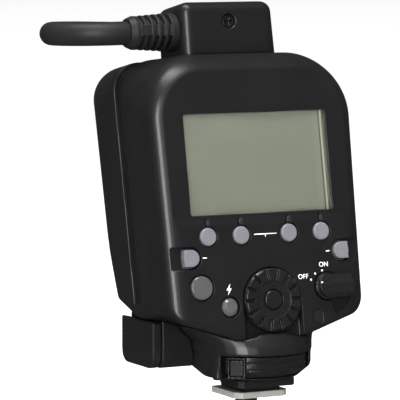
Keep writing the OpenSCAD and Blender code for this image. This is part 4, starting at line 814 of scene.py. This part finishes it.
# Lock lever with two grip grooves round its band
lever = {
    "grooveR": 18.25, "grooveHalf": 0.42, "heights": (9.9, 12.1), "from": -30, "to": 48, "steps": 40,
    "roundSteps": 16, "soft": (0.18, 2, 60000),
}


def bandGroove(c, z):
    rings = []
    for k in range(c["steps"] + 1):
        a = math.radians(c["from"] + (c["to"] - c["from"]) * k / c["steps"] - 90)
        outline = circlePoints(c["grooveR"], z, c["grooveHalf"], c["roundSteps"])
        rings.append([(r * math.cos(a), r * math.sin(a), h) for r, h in outline])
    return loft(rings, "bandGroove")


leverBody = nodeCopy("lock_lever", metres.inverted())
for height in lever["heights"]:
    combine(leverBody, bandGroove(lever, height), "DIFFERENCE")
soften(leverBody, *lever["soft"])
settle(leverBody, metres, "lock_lever", "control_black", "lock_lever")
print("lever made")

# White marks on the panel
marks = {
    "lift": 0.035, "sink": 0.1, "line": 0.13, "bracketHalf": 3.9, "bracketZ": 21.7, "stem": 0.85,
    "dashZ": 15.3, "dashIn": 20.85, "dashOut": 22.25, "bolt": (-14.16, 5.2),
    "zigzag": ((0.55, 1.75), (-0.95, -0.3), (-0.1, -0.2), (-0.5, -1.75), (0.95, 0.35), (0.1, 0.25)),
    "onPlace": (19.6, 11.15), "offPlace": (12.05, 7.7), "letter": 2.1, "weld": 0.0005,
    "dots": ((18.9, 9.29), (16.37, 8.46), (14.73, 6.64)), "dotR": 0.32, "dotSteps": 20,
    "handleDot": (17.3, 5.4), "handleSink": 0.4, "handleSight": -20,
}


def word(text, place, size, m):
    curve = bpy.data.curves.new("word", "FONT")
    curve.body = text
    curve.size = size
    curve.align_x = "CENTER"
    curve.align_y = "CENTER"
    curve.extrude = (m["lift"] + m["sink"]) / 2
    lettering = newObject("word", curve)
    graph = bpy.context.evaluated_depsgraph_get()
    mesh = bpy.data.meshes.new_from_object(lettering.evaluated_get(graph))
    bpy.data.objects.remove(lettering)
    bpy.data.curves.remove(curve)
    upright = Matrix.Rotation(math.pi / 2, 4, "X")
    mesh.transform(Matrix.Translation((place[0], (m["sink"] - m["lift"]) / 2, place[1])) @ upright)
    made = newObject("word", mesh)
    weld = made.modifiers.new("weld", "WELD")
    weld.merge_threshold = m["weld"]
    bake(made)
    return made


def panelMarks(m):
    y0, y1, line = -m["lift"], m["sink"], m["line"]
    half, z = m["bracketHalf"], m["bracketZ"]
    low, high, tip = z - line, z + line, z - m["stem"]
    bracket = [(-half, low), (-line, low), (-line, tip), (line, tip), (line, low), (half, low), (half, high),
               (-half, high)]
    yield prism(bracket, y0, y1)
    for side in (-1, 1):
        ends = sorted((side * m["dashIn"], side * m["dashOut"]))
        yield block(ends[0], ends[1], y0, y1, m["dashZ"] - line, m["dashZ"] + line)
    boltX, boltZ = m["bolt"]
    yield prism([(boltX + x, boltZ + z) for x, z in m["zigzag"]], y0, y1)
    for x, z in m["dots"]:
        yield rod(x, z, m["dotR"], y0, y1, m["dotSteps"])
    yield word("ON", m["onPlace"], m["letter"], m)
    yield word("OFF", m["offPlace"], m["letter"], m)


markPiece = join(list(panelMarks(marks)), "panelMarks")
settle(markPiece, onPanel, "control_unit", "white_plastic")
dotX, dotZ = marks["handleDot"]
inward = (onPanel.to_3x3() @ Vector((0, 1, 0))).normalized()
spot = switch.ray_cast(onPanel @ Vector((dotX, marks["handleSight"], dotZ)), inward)[1]
dotY = (inPanel @ spot).y
dotEnds = (dotY - marks["lift"], dotY + marks["handleSink"])
handleDot = rod(dotX, dotZ, marks["dotR"], dotEnds[0], dotEnds[1], marks["dotSteps"])
settle(handleDot, onPanel, "power_switch", "white_plastic")
print("marks made")

# Cross-head screws of the casing, the ring head and the foot
screwForms = {
    "casing": {"head": 2.4, "rise": 1.35, "shank": 1.25, "length": 6.0,
               "slot": 0.36, "arm": 1.45, "depth": 0.75},
    "foot": {"head": 1.15, "rise": 0.68, "shank": 0.65, "length": 2.4,
             "slot": 0.17, "arm": 0.7, "depth": 0.4},
    "dome": ((1, 0.55), (0.93, 0.8), (0.75, 0.94)), "steps": 40, "pastHead": 1,
    "bodySlots": (20, 31), "ringSlots": (10, 47), "footSlots": (15, 38),
    "ringR": 45, "ringTurns": (45, 135, 225, 315), "ringSeat": 11.4,
    "footPlaces": ((-3.9, 7.1, -0.8), (3.9, 7.1, -0.8), (-4.2, -6.4, -0.8), (4.2, -6.4, -0.8)),
}


def screwForm(c):
    shank = [(0, -c["length"]), (c["shank"], -c["length"]), (c["shank"], 0), (c["head"], 0)]
    dome = [(c["head"] * wide, c["rise"] * high) for wide, high in screwForms["dome"]]
    made = lathe(shank + dome + [(0, c["rise"])], screwForms["steps"], "screw")
    low, high = c["rise"] - c["depth"], c["rise"] + screwForms["pastHead"]
    for across, along in ((c["slot"], c["arm"]), (c["arm"], c["slot"])):
        combine(made, block(-across, across, -along, along, low, high), "DIFFERENCE")
    return made


towardsFront = Matrix.Rotation(-math.pi / 2, 4, "X")
bodyPlaces = [(x, -z, seat) for x, z, seat in screws["places"]]
bodyScrews = copies(screwForm(screwForms["casing"]), bodyPlaces, "screw_steel", *screwForms["bodySlots"])
bodyScrews.data.transform(onPanel @ towardsFront)
ringTurns = [math.radians(a) for a in screwForms["ringTurns"]]
ringR = screwForms["ringR"]
ringPlaces = [(ringR * math.cos(a), ringR * math.sin(a), screwForms["ringSeat"]) for a in ringTurns]
ringScrews = copies(screwForm(screwForms["casing"]), ringPlaces, "screw_steel", *screwForms["ringSlots"])
ringScrews.data.transform(onRing @ Matrix.Rotation(math.pi, 4, "X"))
casingScrews = join([bodyScrews, ringScrews], "casingScrews")
settle(casingScrews, Matrix(), "control_unit", "screw_steel", "casing_screws")
footScrews = copies(screwForm(screwForms["foot"]), screwForms["footPlaces"], "screw_steel",
                    *screwForms["footSlots"])
settle(footScrews, metres @ Matrix.Rotation(math.pi, 4, "X"), "control_unit", "screw_steel", "foot_screws")
print("screws made")

# Ring head: rounded housings, and diffusers with fine radial ribs
softNode("ring_rear_housing", "control_unit", "casing_black", 0.45, 3, 120000, onRing.inverted())
softNode("ring_front_housing", "control_unit", "casing_black", 0.45, 3, 120000, onRing.inverted())
diffuser = {
    "r0": 38.9, "r1": 51.4, "half": 65.85, "low": 9.6, "face": 12.65, "top": 12.98,
    "pitch": 1.5, "ribHalf": 0.34, "ribIn": 0.4, "ribRoot": 0.3, "endGap": 1,
}


def sectorSolid(r0, r1, z0, z1, middle, half, steps=88):
    section = ((r0, z0), (r1, z0), (r1, z1), (r0, z1))
    rings = []
    for k in range(steps + 1):
        a = math.radians(middle - half + 2 * half * k / steps)
        rings.append([(r * math.cos(a), r * math.sin(a), z) for r, z in section])
    return loft(rings, "sector")


def diffuserForm(c, middle):
    made = sectorSolid(c["r0"], c["r1"], c["low"], c["face"], middle, c["half"])
    r0, r1, w = c["r0"] + c["ribIn"], c["r1"] - c["ribIn"], c["ribHalf"]
    root = c["face"] - c["ribRoot"]
    section = ((-w, root), (w, root), (w, c["face"]), (0, c["top"]), (-w, c["face"]))
    rib = loft([[(r, y, z) for y, z in section] for r in (r0, r1)], "rib")
    count = int(2 * (c["half"] - c["endGap"]) / c["pitch"]) + 1
    first = middle - c["pitch"] * (count - 1) / 2
    combine(made, copies(rib, [(0, 0, 0)] * count, "diffuser", first, c["pitch"]), "UNION")
    return made


windows = join([diffuserForm(diffuser, 0), diffuserForm(diffuser, 180)], "diffuserWindows")
settle(windows, onRing, "control_unit", "diffuser", "diffuser_windows")
for face in windows.data.polygons:
    face.use_smooth = False
for side in ("left", "right"):
    release = f"release_button_{side}"
    softNode(release, release, "key_grey", 0.2, 4, 20000, onRing.inverted())
softNode("focus_lamps", "control_unit", "lamp_lens", 0.2, 4, 40000, onRing.inverted())
print("ring head made")

for node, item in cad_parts.items():
    for slot in item.material_slots:
        if slot.material and slot.material.name.split(".")[0] in materials:
            slot.material = materials[slot.material.name.split(".")[0]]

# Floor and lights, of which the black plastic mirrors the left softbox and the crown light alone
studio = {
    "floorDrop": 0.003, "floorHalf": 40, "floorCells": 8, "world": 0.06,
    "floorLook": {"base": (0.9, 0.9, 0.9), "rough": 0.8, "spread": 0.01, "bump": 0.02, "grain": 400,
                  "glow": 0.32},
}
lights = {
    "leftSoftbox": {"place": (-0.82, -1.01, 0.3), "aim": (0, 0.02, 0.07), "size": (0.14, 1.1), "power": 21,
                    "mirrored": True},
    "topSoftbox": {"place": (-0.1, -0.25, 1.2), "aim": (0, 0, 0.06), "size": (1.0, 0.6), "power": 26,
                   "mirrored": False},
    "crownLight": {"place": (-0.2, -0.06, 1.2), "aim": (0, 0, 0.1), "size": (0.9, 0.4), "power": 13,
                   "mirrored": True},
    "ceiling": {"place": (0, 0.5, 3.4), "aim": (0, 0.5, 0), "size": (24.0, 24.0), "power": 1500,
                "mirrored": False},
}
floorZ = cadBox[0][2] - studio["floorDrop"]
cells = studio["floorCells"]
floorShape = bmesh.new()
bmesh.ops.create_grid(floorShape, x_segments=cells, y_segments=cells, size=studio["floorHalf"])
bmesh.ops.translate(floorShape, verts=floorShape.verts, vec=(0, 0, floorZ))
floor = fromBmesh("floor", floorShape)
floor.data.materials.append(makeMaterial("paleFloor", studio["floorLook"]))
floor.visible_glossy = False

world = bpy.data.worlds.new("studio")
scene.world = world
world.use_nodes = True
sky = world.node_tree.nodes["Background"]
sky.inputs["Color"].default_value = (1, 1, 1, 1)
sky.inputs["Strength"].default_value = studio["world"]


def softLight(name, light):
    data = bpy.data.lights.new(name, "AREA")
    data.shape = "RECTANGLE"
    data.size, data.size_y = light["size"]
    data.energy = light["power"]
    lamp = bpy.data.objects.new(name, data)
    scene.collection.objects.link(lamp)
    lamp.location = light["place"]
    aim = Vector(light["aim"]) - Vector(light["place"])
    lamp.rotation_euler = aim.to_track_quat("-Z", "Y").to_euler()
    lamp.visible_glossy = light["mirrored"]


for name, light in lights.items():
    softLight(name, light)
print("studio made")
